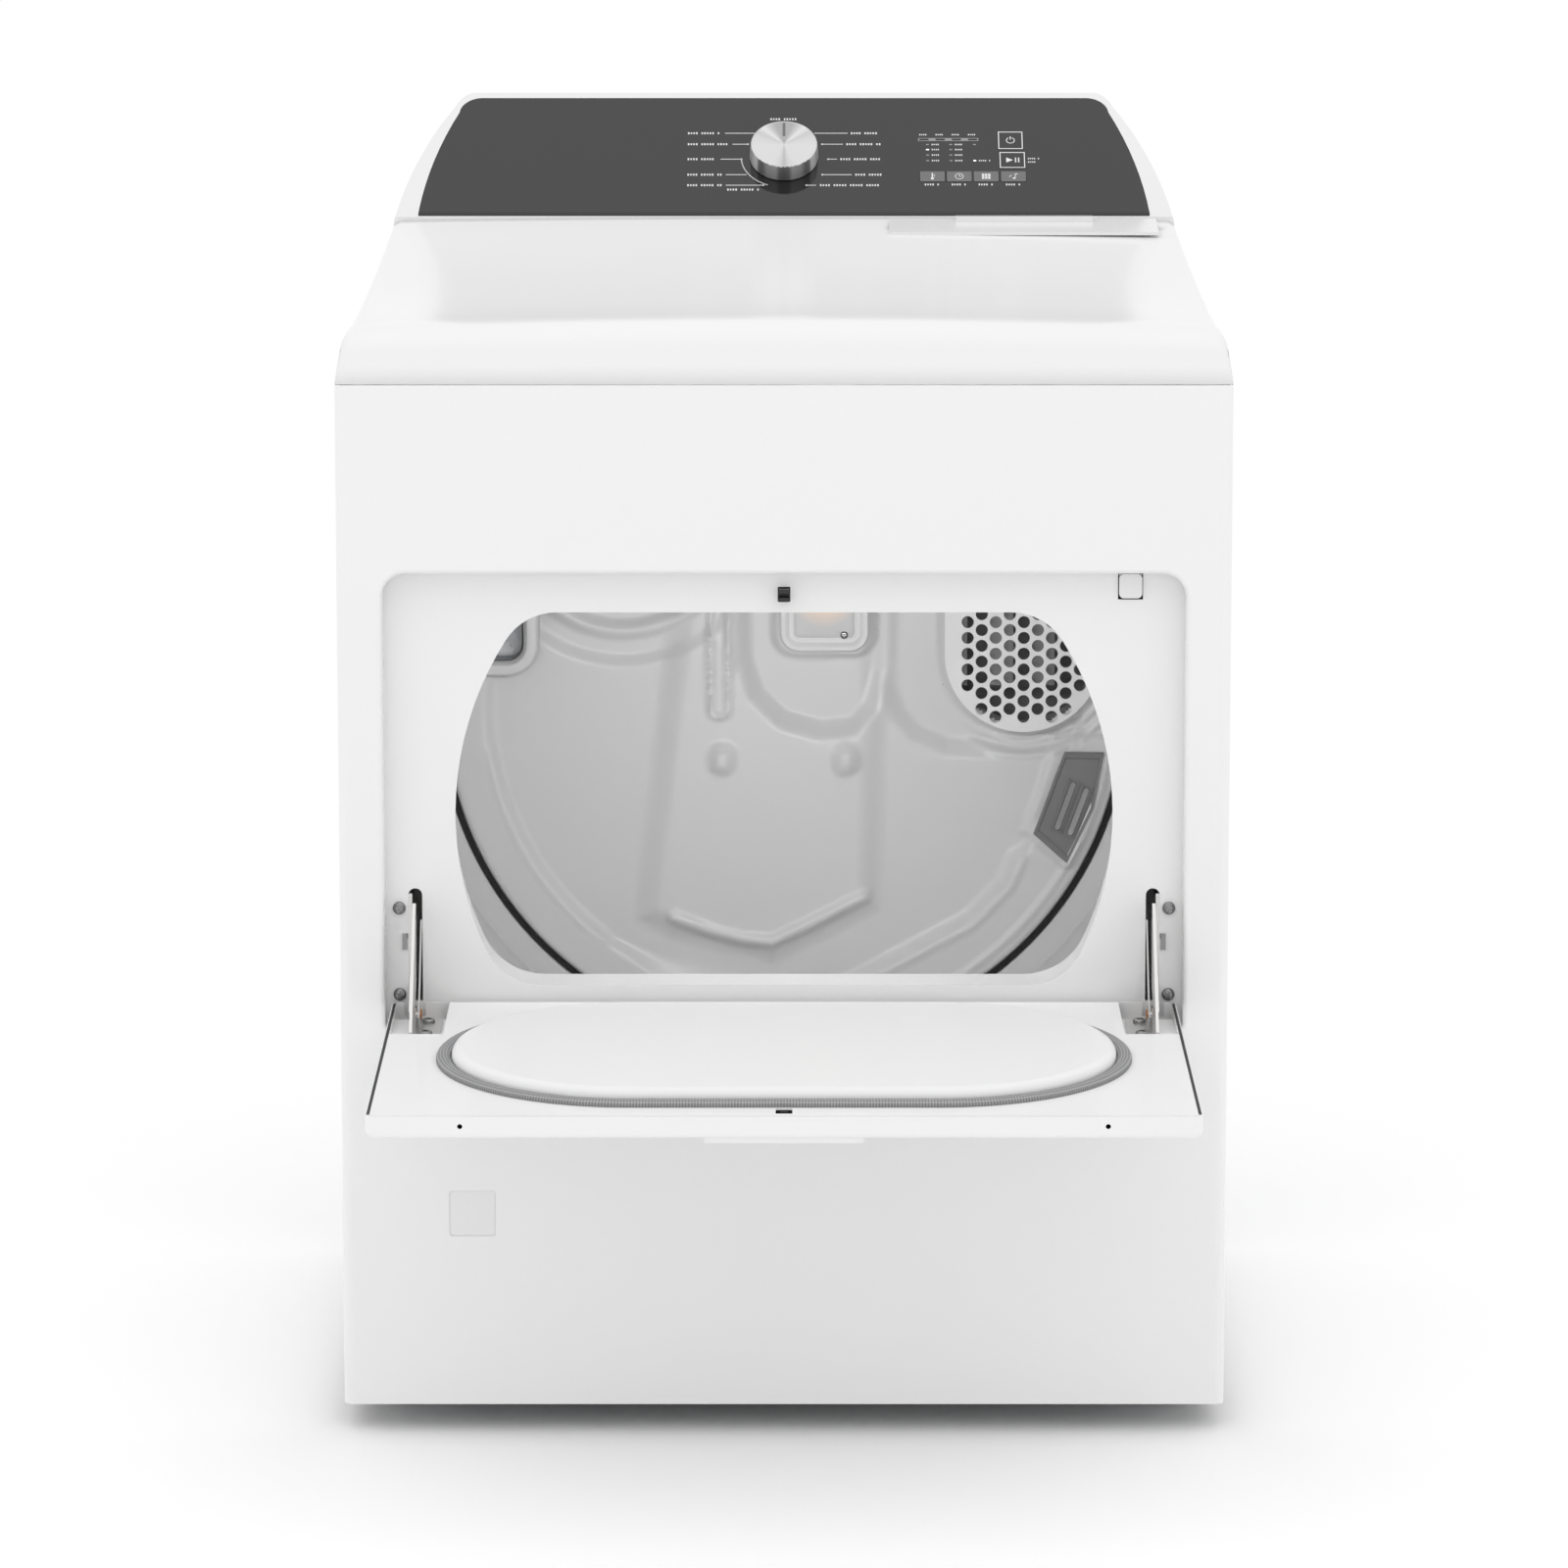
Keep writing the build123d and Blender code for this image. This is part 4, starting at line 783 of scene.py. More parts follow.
class DRYER_OT_stage(bpy.types.Operator):
    """Floor, soft studio light and camera"""
    bl_idname = "dryer.stage"
    bl_label = "Studio stage"

    def execute(self, context):
        scene, stage = context.scene, context.scene.dryer_stage
        mesh = bpy.data.meshes.new("studio_floor")
        reach = 60.0
        corners = [(-reach, -reach, 0), (reach, -reach, 0), (reach, reach, 0), (-reach, reach, 0)]
        mesh.from_pydata(corners, [], [(0, 1, 2, 3)])
        given = {"Colour": stage.floor, "Drift": 0.0, "Roughness": 0.8, "Gloss drift": 0.0}
        group = bpy.data.node_groups.get("Surface grain") or surface_grain()
        mesh.materials.append(material("Studio floor", group, given,
                                       {"Specular IOR Level": 0.0}, (0.0, 0.0001)))
        new_object("studio_floor", mesh)
        world = bpy.data.worlds.new("Studio")
        world.use_nodes = True
        sky = world.node_tree.nodes["Background"]
        sky.inputs["Color"].default_value = (1, 1, 1, 1)
        sky.inputs["Strength"].default_value = stage.sky
        scene.world = world
        self.light("Overhead light", stage.key, (0, -1.6, 3.4), 28, (4.0, 3.0))
        self.light("Drum light", stage.drum, (0, FRONT + 60 * MM, 0.69), 70, (0.4, 0.05))
        data = bpy.data.cameras.new("Studio camera")
        data.sensor_width, data.lens = 36.0, 150.57
        data.clip_end = 200.0
        distance, eye, pitch = 5.35, 1.358, 8.59
        camera = new_object("Studio camera", data)
        camera.location = (0, FRONT - distance, eye)
        camera.rotation_euler = (radians(90 - pitch), 0, 0)
        scene.camera = camera
        scene.view_settings.view_transform = "Standard"
        return {"FINISHED"}

    def light(self, name, power, where, tilt, size):
        """A soft rectangular light, tilted back by that many degrees."""
        data = bpy.data.lights.new(name, "AREA")
        data.shape = "RECTANGLE"
        data.size, data.size_y = size
        data.energy = power
        light = new_object(name, data)
        light.location = where
        light.rotation_euler = (radians(tilt), 0, 0)
        light.visible_camera = False


class DRYER_OT_finishes(bpy.types.Operator):
    """Paint, metal, plastic and rubber for every part that keeps its own shape"""
    bl_idname = "dryer.finishes"
    bl_label = "Finishes"

    def execute(self, context):
        FINISHES.update(make_finishes(context.scene.dryer_paint))
        for row in frame["record"]["subparts"]:
            node = frame["nodes"][row["node"]]
            finish = FINISHES[row["material_slot"]]
            for slot in node.material_slots:
                slot.material = finish
        return {"FINISHED"}


class DRYER_OT_deck(bpy.types.Operator):
    """The top panel: a crowned pressing with a rolled front edge and leaning sides"""
    bl_idname = "dryer.deck"
    bl_label = "Top panel"

    def execute(self, context):
        crown = context.scene.dryer_sizes.crown / MM
        rows = self.rows()
        edge, mouth_start, mouth_end = 9.0, 536.9, 552.1
        columns = np.concatenate([np.linspace(-345, 90, 30), [100], np.linspace(120, 310, 12),
                                  [330, 345]])
        middle = (columns > 99) & (columns < 331)
        turns = np.radians(np.linspace(0, 90, 7))
        loops = []
        for y, z, out_y, out_z, share in rows:
            half = self.half_width(z)
            line = []
            for x in columns:
                span = x / 345 * (half - edge) if abs(x) > 331 else x
                drop = crown * share * (x / 350) ** 2
                line.append((span, y, z - drop))
            for side in (-1, 1):
                for turn in turns[1:]:
                    inward = edge * (1 - cos(turn))
                    x = side * (half - edge + edge * sin(turn))
                    drop = crown * share * (half / 350) ** 2
                    point = (x, y - out_y * inward, z - drop - out_z * inward)
                    line.insert(0, point) if side < 0 else line.append(point)
            loops.append(line)
        width = len(loops[0])
        points = [point for line in loops for point in line]
        faces = []
        lead = len(turns) - 1
        for row in range(len(rows) - 1):
            for column in range(width - 1):
                inner = column - lead
                in_mouth = (0 <= inner < len(columns) - 1 and middle[inner]
                            and middle[inner + 1] and rows[row][0] >= mouth_start
                            and rows[row + 1][0] <= mouth_end)
                if not in_mouth:
                    low = row * width + column
                    faces.append((low, low + 1, low + width + 1, low + width))
        for column in (0, width - 1):
            self.side(points, faces, loops, column)
        piece = make_piece("top_panel_pressing", points, faces, "cabinet", "deck_enamel",
                           ("top_panel",), facing=(2, 1), sharp=40)
        thicken(piece, 1.2)
        self.ledge()
        return {"FINISHED"}

    def half_width(self, z):
        """Half the panel's width: its sides lean in, and more so above the roll."""
        foot, roll, back = 879.5, 917.5, 985.0
        if z < roll:
            return 368.3 - 6.5 * (z - foot) / (roll - foot)
        return 361.8 - 9.5 * (z - roll) / (back - roll)

    def rows(self):
        """Stations up the front face, over the roll and back along the deck."""
        made = [(0, 880, -1, 0, 0), (0, 896, -1, 0, 0.15), (0, 908, -1, 0, 0.5)]
        roll_depth, roll_height, steps = 18, 17.5, 8
        for step in range(steps + 1):
            angle = radians(10 * step)
            y = roll_depth * (1 - cos(angle))
            z = 912 + roll_height * sin(angle)
            made.append((y, z, -cos(angle), sin(angle), 0.6 + 0.4 * step / steps))
        start, length, low, climb = 20, 555, 931, 49
        for y in [*np.linspace(24, 520, 22), 537, 552, 563, 574.6]:
            share = (y - start) / length
            rise = climb * (0.3 * share + 0.7 * share ** 2)
            dip = 0.8 * ease(1 - (y - start) / 25)
            made.append((y, low + rise - dip, -0.1, 1, 1 - 0.55 * share))
        return made

    def side(self, points, faces, loops, column):
        """The wall below one rounded edge, down to the panel's foot."""
        side = 1 if column else -1
        top = [line[column] for line in loops]
        start = len(points)
        levels = (917.5, 900, 880)
        for x, y, z in top[3:]:
            points.append((x, y, z))
            for level in levels:
                height = min(level, z)
                points.append((side * self.half_width(height), y, height))
        count = len(levels) + 1
        for row in range(len(top) - 4):
            for level in range(count - 1):
                low = start + row * count + level
                faces.append((low, low + 1, low + count + 1, low + count))

    def ledge(self):
        """The lower shelf under the console, behind the deck, as wide as the deck's sides."""
        loop = [(574.6, 880), (702, 880), (702, 917.5), (702, 956), (700, 958), (576, 958),
                (574.6, 956), (574.6, 917.5)]
        bevel, shoulder = 1.2, 950
        points = []
        for side, outset in ((-1, 0.0), (-1, bevel), (1, bevel), (1, 0.0)):
            for y, z in loop:
                gap = bevel if z < shoulder else 2 * bevel
                points.append((side * (self.half_width(z) - gap + outset), y, z))
        faces = quads(4, len(loop), wrap=True)
        faces += [tuple(range(8)), tuple(range(24, 32))]
        make_piece("console_ledge", points, faces, "cabinet", "deck_enamel")


class DRYER_OT_bulkhead(bpy.types.Operator):
    """The rear bulkhead's pressed face, with its ribs, recesses and openings"""
    bl_idname = "dryer.bulkhead"
    bl_label = "Rear bulkhead"

    def execute(self, context):
        rise = context.scene.dryer_sizes.emboss
        count = 209
        line = np.linspace(-1, 1, count)
        a, b = np.meshgrid(line, line)
        wide = np.abs(a) >= np.abs(b)
        safe_a, safe_b = np.where(a == 0, 1e-9, a), np.where(b == 0, 1e-9, b)
        angle = np.where(wide, pi / 4 * b / safe_a, pi / 2 - pi / 4 * a / safe_b)
        reach = PLUG_FACE_R * np.where(wide, a, b)
        x, z = reach * np.cos(angle), DRUM_Z + reach * np.sin(angle)
        depth = PLUG_FRONT - pressing_height(x, z, rise)
        points = np.column_stack([x.ravel(), depth.ravel(), z.ravel()])
        inlet = (INLET[0], INLET[1], INLET[2] + 4, INLET[3] + 4, INLET[4])
        faces = []
        for face in quads(count, count):
            middle_x = points[list(face), 0].mean()
            middle_z = points[list(face), 2].mean()
            open_here = (from_grille(middle_x, middle_z) < -5
                         or from_rounded(middle_x, middle_z, LAMP) < -5
                         or from_rounded(middle_x, middle_z, inlet) < 0)
            if not open_here:
                faces.append(face)
        ring_points, ring_faces = self.rings(points, count)
        points = np.vstack([points, ring_points])
        piece = make_piece("rear_bulkhead_pressing", points, faces + ring_faces, "cabinet",
                           "bulkhead_paint", ("rear_bulkhead",), facing=(1, -1), sharp=60)
        thicken(piece, 0.8)
        studs = []
        for turn in (225, 315):
            x = ROLLER_REACH * cos(radians(turn))
            z = DRUM_Z + ROLLER_REACH * sin(radians(turn))
            stud = drum_points([(0, 548), (4.2, 548), (5, 549), (5, 612), (0, 612)], 24, (x, z))
            studs.append((stud, quads(5, 24, wrap=True)))
        make_piece("roller_studs", *gather(studs), "cabinet", "zinc_steel")
        return {"FINISHED"}

    def rings(self, points, count):
        """The plug's rounded edge, its wall and the plate round it."""
        low, high = list(range(count)), list(range(count * (count - 1), count * count))
        left = [row * count for row in range(count)]
        right = [row * count + count - 1 for row in range(count)]
        border = low[:-1] + right[:-1] + high[:0:-1] + left[:0:-1]
        start, size = len(points), len(border)
        directions = points[border][:, [0, 2]] - (0, DRUM_Z)
        directions /= np.linalg.norm(directions, axis=1)[:, None]
        turns = np.radians((22, 45, 68, 90))
        steps = [(PLUG_FACE_R + PLUG_CORNER * sin(turn),
                  PLUG_FRONT + PLUG_CORNER * (1 - cos(turn))) for turn in turns]
        steps += [(309.6, 611), (311, REAR_PLATE_Y)]
        made = [np.column_stack([directions[:, 0] * radius, np.full(size, y),
                                 DRUM_Z + directions[:, 1] * radius]) for radius, y in steps]
        half, above, below = 355, 293, 343
        sides = [half / np.maximum(np.abs(directions[:, 0]), 1e-9)]
        sides.append(np.where(directions[:, 1] > 0, above, below)
                     / np.maximum(np.abs(directions[:, 1]), 1e-9))
        radius = np.maximum(np.minimum(*sides), 312)
        made.append(np.column_stack([directions[:, 0] * radius, np.full(size, REAR_PLATE_Y),
                                     DRUM_Z + directions[:, 1] * radius]))
        made = np.vstack(made)
        faces = quads(len(steps) + 1, size, wrap=True, first=start)
        for index in range(size):
            after = (index + 1) % size
            faces.append((border[index], border[after], start + after, start + index))
        return made, faces


class DRYER_OT_drum_fittings(bpy.types.Operator):
    """Felt rings, the air inlet's lip, the bars behind the outlet plate, lamp and sensor"""
    bl_idname = "dryer.drum_fittings"
    bl_label = "Drum fittings"

    def execute(self, context):
        rings = []
        for outer, inner, low, high in ((305.4, 300.2, 114, 132), (315.4, 310.2, 584.3, 602)):
            middle = (outer + inner) / 2
            profile = [(inner, low + 1), (middle, low), (outer, low + 1), (outer, high - 1),
                       (middle, high), (inner, high - 1), (inner, low + 1)]
            rings.append((drum_points(profile, 160), quads(len(profile), 160, wrap=True)))
        make_piece("drum_felts", *gather(rings), "cabinet", "felt", ("drum_seals",))
        self.inlet()
        self.lamp()
        self.sensor()
        points = [(GRILLE[0] + offset, 606, GRILLE[1] - 32) for offset in (-62, -20, 18)]
        bar = loose_shape("outlet_bar", *block((-11, 11), (-4, 4), (0, 110)))
        repeat("outlet_bars", bar, points, "cabinet", "grey_plastic")
        return {"FINISHED"}

    def inlet(self):
        """A thick rounded lip round the hot-air inlet, with a zinc duct behind it."""
        outsets = [(-1, 596), (-1, 582), (0, 577), (3, 573.5), (7, 572.5), (11, 574), (13, 578),
                   (14, 583)]
        loops = [rounded_loop(INLET, outset) for outset, _ in outsets]
        points, faces = loft_loops(loops, [depth for _, depth in outsets], capped=False)
        piece = make_piece("inlet_lip", points, faces, "cabinet", "bulkhead_paint",
                           facing=(1, -1))
        thicken(piece, 0.8)
        loops = [rounded_loop(INLET, outset) for outset in (-1.8, -1.8, -6)]
        points, faces = loft_loops(loops, (580, 608, 610))
        make_piece("inlet_duct", points, faces, "cabinet", "galvanised", facing=(1, -1))

    def lamp(self):
        """The lamp's cover: a double-rounded frame round a dished lens."""
        outsets = [(1.5, 585), (1.5, 577), (0, 574.5), (-3, 574), (-5.5, 575.5), (-7, 577.5),
                   (-9, 577.5), (-11, 576)]
        loops = [rounded_loop(LAMP, outset) for outset, _ in outsets]
        points, faces = loft_loops(loops, [depth for _, depth in outsets], capped=False)
        piece = make_piece("lamp_frame", points, faces, "cabinet", "lens_plastic",
                           ("lamp_lens",), "white_plastic", facing=(1, -1))
        thicken(piece, 1.0)
        outsets = [(-10, 577.5), (-12, 576), (-15, 575.6), (-20, 575.2), (-28, 575)]
        loops = [rounded_loop(LAMP, outset) for outset, _ in outsets]
        points, faces = loft_loops(loops, [depth for _, depth in outsets])
        piece = make_piece("lamp_cover", points, faces, "cabinet", "lens_plastic",
                           facing=(1, -1))
        thicken(piece, 1.0)

    def sensor(self):
        """The moisture sensor's holder, bevelled, with a slot for each strip."""
        corners = np.array([(256.3, 491.7), (292, 491.7), (283, 440), (259, 389.3),
                            (228.5, 416.3)])
        middle = corners.mean(0)
        loops = []
        for grown, depth in ((1.0, 583), (1.0, 575.5), (0.985, 574.3), (0.9, 575.2),
                             (0.86, 576.8)):
            loops.append((middle + (corners - middle) * grown, depth))
        points, faces = loft_loops([loop for loop, _ in loops], [depth for _, depth in loops])
        parts = [(points, faces)]
        lean = radians(70)
        for x, z in ((257, 442.7), (269, 437.5)):
            for side in (-1, 1):
                rail = [(along, side * 4.2 + across) for along in (-25, 25) for across in (-1, 1)]
                rail = [(x + a * cos(lean) - c * sin(lean), z + a * sin(lean) + c * cos(lean))
                        for a, c in rail]
                rail = [(px, y, pz) for y in (574.9, 577) for px, pz in rail]
                parts.append((rail, BLOCK_FACES))
        make_piece("sensor_holder", *gather(parts), "cabinet", "sensor_plastic",
                   ("moisture_sensor",), sharp=25)


class DRYER_OT_seal(bpy.types.Operator):
    """The woven seal round the door's raised plate"""
    bl_idname = "dryer.seal"
    bl_label = "Door seal"

    def execute(self, context):
        yarn = context.scene.dryer_sizes.yarn / MM
        radius, straight = 153.5, 120.0
        length = 2 * pi * radius + 4 * straight
        steps, across = 420, 12
        points, maps = [], []
        for side in range(across + 1):
            lean = pi * side / across
            offset, rise = -5.9 * cos(lean), 0.3 + 5.2 * sin(lean) ** 0.6
            for step in range(steps):
                x, z, out_x, out_z = self.path(step / steps, radius, straight)
                points.append((x + out_x * offset, SEAL_Y + rise, SEAL_Z + z + out_z * offset))
        faces = quads(across + 1, steps, wrap=True)
        faces += [(i, (i + 1) % steps, across * steps + (i + 1) % steps, across * steps + i)
                  for i in range(steps)]
        piece = make_piece("door_seal_woven", swing(points), faces, "door", "seal_weave",
                           ("door_seal",))
        self.add_map(piece, yarn, length, radius, straight)
        return {"FINISHED"}

    def path(self, share, radius, straight):
        """A point of the stadium's middle line and the direction away from its middle."""
        length = 2 * pi * radius + 4 * straight
        along = share * length
        if along < 2 * straight:
            return straight - along, radius, 0, 1
        along -= 2 * straight
        if along < pi * radius:
            angle = pi / 2 + along / radius
            return -straight + radius * cos(angle), radius * sin(angle), cos(angle), sin(angle)
        along -= pi * radius
        if along < 2 * straight:
            return -straight + along, -radius, 0, -1
        angle = -pi / 2 + (along - 2 * straight) / radius
        return straight + radius * cos(angle), radius * sin(angle), cos(angle), sin(angle)

    def add_map(self, piece, yarn, length, radius, straight):
        """A map that runs along the seal and across it, one unit to two yarns."""
        mesh = piece.data
        layer = mesh.uv_layers.new(name="UVMap")
        unit = 2 * yarn
        hinge_y, hinge_z = FRONT + HINGE_Y * MM, HINGE_Z * MM
        turns = round(length / unit)
        for face in mesh.polygons:
            spots = []
            for corner in face.loop_indices:
                x, y, z = mesh.vertices[mesh.loops[corner].vertex_index].co
                y, z = y - hinge_y, z - hinge_z
                up = (-y * sin(DOOR_OPEN) + z * cos(DOOR_OPEN)) / MM + HINGE_Z - SEAL_Z
                spots.append(self.along(x / MM, up, radius, straight, length))
            wrapped = max(spot[0] for spot in spots) - min(spot[0] for spot in spots) > 0.5
            for corner, (share, offset) in zip(face.loop_indices, spots):
                share += 1 if wrapped and share < 0.5 else 0
                layer.data[corner].uv = (share * turns, offset / unit)

    def along(self, x, up, radius, straight, length):
        """Where a point lies along the stadium, as a share, and how far off its line."""
        near = min(max(x, -straight), straight)
        angle = np.arctan2(up, x - near) if abs(x) > straight else pi / 2 * np.sign(up)
        offset = np.hypot(x - near, up) - radius
        if abs(x) <= straight:
            run = straight - x if up > 0 else 3 * straight + x + pi * radius
        elif x < 0:
            run = 2 * straight + radius * ((angle if angle > 0 else angle + 2 * pi) - pi / 2)
        else:
            run = 4 * straight + pi * radius + radius * (angle + pi / 2)
        return run / length, offset


class DRYER_OT_knob(bpy.types.Operator):
    """The selector knob: spun face, polished side and pointer"""
    bl_idname = "dryer.knob"
    bl_label = "Knob"

    def execute(self, context):
        profile = [(0, 0.7), (30.4, 0.7), (31, 1.2), (30.9, 3), (30.3, 16.4), (30.0, 17.2),
                   (29.2, 17.9), (28.6, 18.0), (28.0, 17.6), (15, 17.35), (4, 17.2), (0, 17.15)]
        steps, rim = 128, 16.8
        points = on_face(spin_points(profile, steps, (0, KNOB_V)))
        mesh = bpy.data.meshes.new("knob_spun")
        mesh.from_pydata(place(points).tolist(), [], quads(len(profile), steps, wrap=True))
        layer = mesh.uv_layers.new(name="UVMap")
        for face in mesh.polygons:
            for corner in face.loop_indices:
                index = mesh.loops[corner].vertex_index
                column, row = index % steps, index // steps
                share = column / steps
                if column == 0 and any(mesh.loops[c].vertex_index % steps == steps - 1
                                       for c in face.loop_indices):
                    share = 1.0
                layer.data[corner].uv = (share, profile[row][0] / 31 + profile[row][1] / 60)
        clean_mesh(mesh, 30)
        mesh.materials.append(FINISHES["knob_metal"])
        mesh.materials.append(self.side_finish())
        for face in mesh.polygons:
            if self.height(face.center) < rim:
                face.material_index = 1
        finish_piece(new_object("knob_spun", mesh), "knob", ("cycle_knob",))
        line = rounded_loop((0, KNOB_V + 19, 2.6, 17.0, 1.2), corner_steps=4)
        parts = [np.column_stack([line, np.full(len(line), height)]) for height in (17.3, 17.65)]
        make_piece("knob_pointer", on_face(np.vstack(parts)), prism_faces(len(line)), "knob",
                   "key_grey")
        stub = on_face(spin_points([(0, -10), (3, -10), (3, 1.2), (0, 1.2)], 24, (0, KNOB_V)))
        make_piece("knob_shaft", stub, quads(4, 24, wrap=True), "knob", "knob_metal",
                   finish="zinc_steel")
        return {"FINISHED"}

    def height(self, point):
        """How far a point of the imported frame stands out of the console's face."""
        y = (point.y - FRONT) / MM - FACE_Y
        z = point.z / MM - FACE_Z
        return z * cos(FACE_ANGLE) - y * sin(FACE_ANGLE)

    def side_finish(self):
        """Polished metal with painted reflection bands round its side."""
        group, given, result = new_group("Painted reflection bands", {"Metal": (COLOUR, grey(0.8))},
                                         {"Colour": COLOUR, "Height": NUMBER})
        # Painted reflections: light and dark bands standing in for what the polished side would
        # mirror.
        stops = ((0.0, 0.16), (0.045, 0.20), (0.08, 0.5), (0.17, 0.42), (0.22, 0.2),
                 (0.27, 0.24), (0.30, 0.9), (0.37, 0.8), (0.42, 0.5), (0.48, 1.0), (1.0, 0.8))
        painted_turned_shine(group, given, result, stops, 90.0)
        return material("Polished aluminium with painted reflections", group, {}, {"Metallic": 0.45, "Roughness": 0.42},
                        (0.02, 0.00005))


class DRYER_OT_marks(bpy.types.Operator):
    """Generic marks, icons and indicators on the control panel and its keys"""
    bl_idname = "dryer.marks"
    bl_label = "Control marks"

    def execute(self, context):
        self.dial()
        self.readout()
        self.key_marks()
        # Painted shade: a black strip along the panel's lower edge for the dark line at its foot.
        strip = self.bar(0, 3.9, 659.0, 4.4, 0.02, 0.3)
        self.lay("fascia_foot_trim", [strip], "black_plastic", "black_plastic")
        return {"FINISHED"}

    def bar(self, x, v, width, height, low=0.0, high=0.12, turn=0.0):
        """A thin raised bar on the face, centred on (x, v)."""
        points, faces = block((-width / 2, width / 2), (-height / 2, height / 2), (low, high))
        out = [(x + a * cos(turn) - b * sin(turn), v + a * sin(turn) + b * cos(turn), c)
               for a, b, c in points]
        return out, faces

    def outline(self, x, v, width, height, line=0.9):
        """A thin rectangular outline on a key, made of four bars."""
        w, h = width / 2 - line / 2, height / 2 - line / 2
        return [self.bar(x, v + shift, width, line, *KEY_PRINT) for shift in (h, -h)] + [
            self.bar(x + shift, v, line, height - 2 * line, *KEY_PRINT) for shift in (-w, w)]

    def lay(self, name, parts, slot, finish, body="cabinet"):
        points, faces = gather(parts)
        make_piece(name, on_face(points), faces, body, slot, finish=finish)

    def dial(self):
        """Leader lines, stops and label bars round the knob."""
        rows = (109.9, 95.4, 75.7, 55.3, 41.5)
        left = ((-53.8, -25.8), (-47.0, -33.0), (-57.8, -38.8), (-52.9, -34.0), (-52.9, -18.8))
        right = ((27.6, 58.1), (34.8, 53.6), (40.2, 48.2), (34.8, 61.5), (20.3, 29.1))
        words = ((-88.2, -56.6), (-88.2, -50.0), (-88.2, -61.0), (-88.2, -56.0), (-88.2, -56.0))
        words_right = ((60.5, 90), (56.3, 90), (50.7, 90), (64.2, 90), (32.1, 90))
        parts, labels = [], []
        for v, spans in zip(rows, zip(left, right)):
            for low, high in spans:
                parts.append(self.bar((low + high) / 2, v, high - low, 0.75))
        for x, v in ((-33, 95.4), (34.8, 95.4), (40.2, 75.7), (34.8, 55.3), (-18.8, 41.5),
                     (20.3, 41.5), (-38.8, 75.7)):
            parts.append(self.bar(x, v, 1.7, 1.7))
        for step in range(14):
            angle = radians(183 + 4.6 * (step + 0.5))
            x, v = 38.8 * cos(angle), KNOB_V + 38.8 * sin(angle)
            parts.append(self.bar(x, v, 3.4, 0.75, turn=angle + pi / 2))
        for v, spans in zip(rows, zip(words, words_right)):
            for low, high in spans:
                labels += self.label(low, high, v)
        labels += self.label(-52, -21, 35.8)
        labels += self.label(-13, 13, 128.6)
        self.lay("dial_lines", parts, "white_plastic", "print_white")
        self.lay("dial_labels", labels, "white_plastic", "print_white")

    def label(self, low, high, v, height=2.6):
        """A label shown as a row of short ticks, which carries no lettering."""
        pitch = 0.95 * height
        count = max(int((high - low) / pitch), 2)
        parts = []
        for index in range(count):
            if index % 6 != 4:
                tall = height * (1.0, 0.8, 0.9)[index % 3]
                x = low + (index + 0.5) * pitch
                parts.append(self.bar(x, v, 0.56 * pitch, tall))
        return parts

    def readout(self):
        """The progress bar, the rows of indicators and the labels beside them."""
        base = [self.bar(149.8, 101.6, 54.9, 3.8)]
        dark = [self.bar(127.6 + 14.8 * index, 101.6, 8.4, 2.2, 0.1, 0.2) for index in range(4)]
        labels = []
        for index in range(4):
            x = 127.6 + 14.8 * index
            labels += self.label(x - 4.5, x + 4.5, 108.0, 1.9)
        off, lit = [], []
        for x in (130.7, 151.9, 173.5):
            for v in (95.0, 88.3, 81.1, 73.8):
                if x == 173.5 and v in (88.3, 81.1):
                    continue
                spot = self.bar(x, v, 2.6, 1.4)
                (lit if (x, v) in ((130.7, 88.3), (173.5, 73.8)) else off).append(spot)
                wide = 9.0 if x < 170 else 12.0
                if (x, v) != (173.5, 95.0):
                    labels += self.label(x + 3.4, x + 3.4 + wide, v, 1.9)
        labels += self.label(221.5, 234, 76.5, 1.9) + self.label(221.5, 231, 72.0, 1.9)
        for name in SMALL_KEYS:
            x = KEYS[name][0]
            labels += self.label(x - 7.5, x + 7.5, 42.4, 2.4)
        self.lay("readout_bar", base, "key_grey", "print_grey")
        self.lay("readout_windows", dark, "black_plastic", "black_plastic")
        self.lay("readout_labels", labels, "white_plastic", "print_white")
        self.lay("indicators_off", off, "key_grey", "print_grey")
        self.lay("indicators_lit", lit, "lens_plastic", "lamp_lit")

    def key_marks(self):
        """An outline and an icon on each key; each rides on its own key."""
        x, v = KEYS["power_button"]
        parts = self.outline(x, v, 22.4, 22.8)
        for step in range(16):
            angle = radians(120 + 300 * (step + 0.5) / 16)
            parts.append(self.bar(x + 3.6 * cos(angle), v + 3.6 * sin(angle), 1.5, 0.8,
                                  *KEY_PRINT, angle + pi / 2))
        parts.append(self.bar(x, v + 3.2, 0.9, 4.0, *KEY_PRINT))
        self.lay("power_mark", parts, "white_plastic", "print_white", "power_button")
        x, v = KEYS["start_button"]
        parts = self.outline(x, v, 23.1, 20.6)
        triangle = [(x - 5.5, v - 3.2), (x - 5.5, v + 3.2), (x + 0.5, v)]
        points = [(a, b, c) for c in KEY_PRINT for a, b in triangle]
        parts.append((points, [(0, 1, 2), (3, 4, 5), (0, 1, 4, 3), (1, 2, 5, 4), (2, 0, 3, 5)]))
        parts += [self.bar(x + shift, v, 1.1, 6.2, *KEY_PRINT) for shift in (3.0, 5.8)]
        self.lay("start_mark", parts, "white_plastic", "print_white", "start_button")
        for name in SMALL_KEYS:
            x, v = KEYS[name]
            self.lay(name.replace("button", "mark"), self.icon(name, x, v), "white_plastic",
                     "print_white", name)

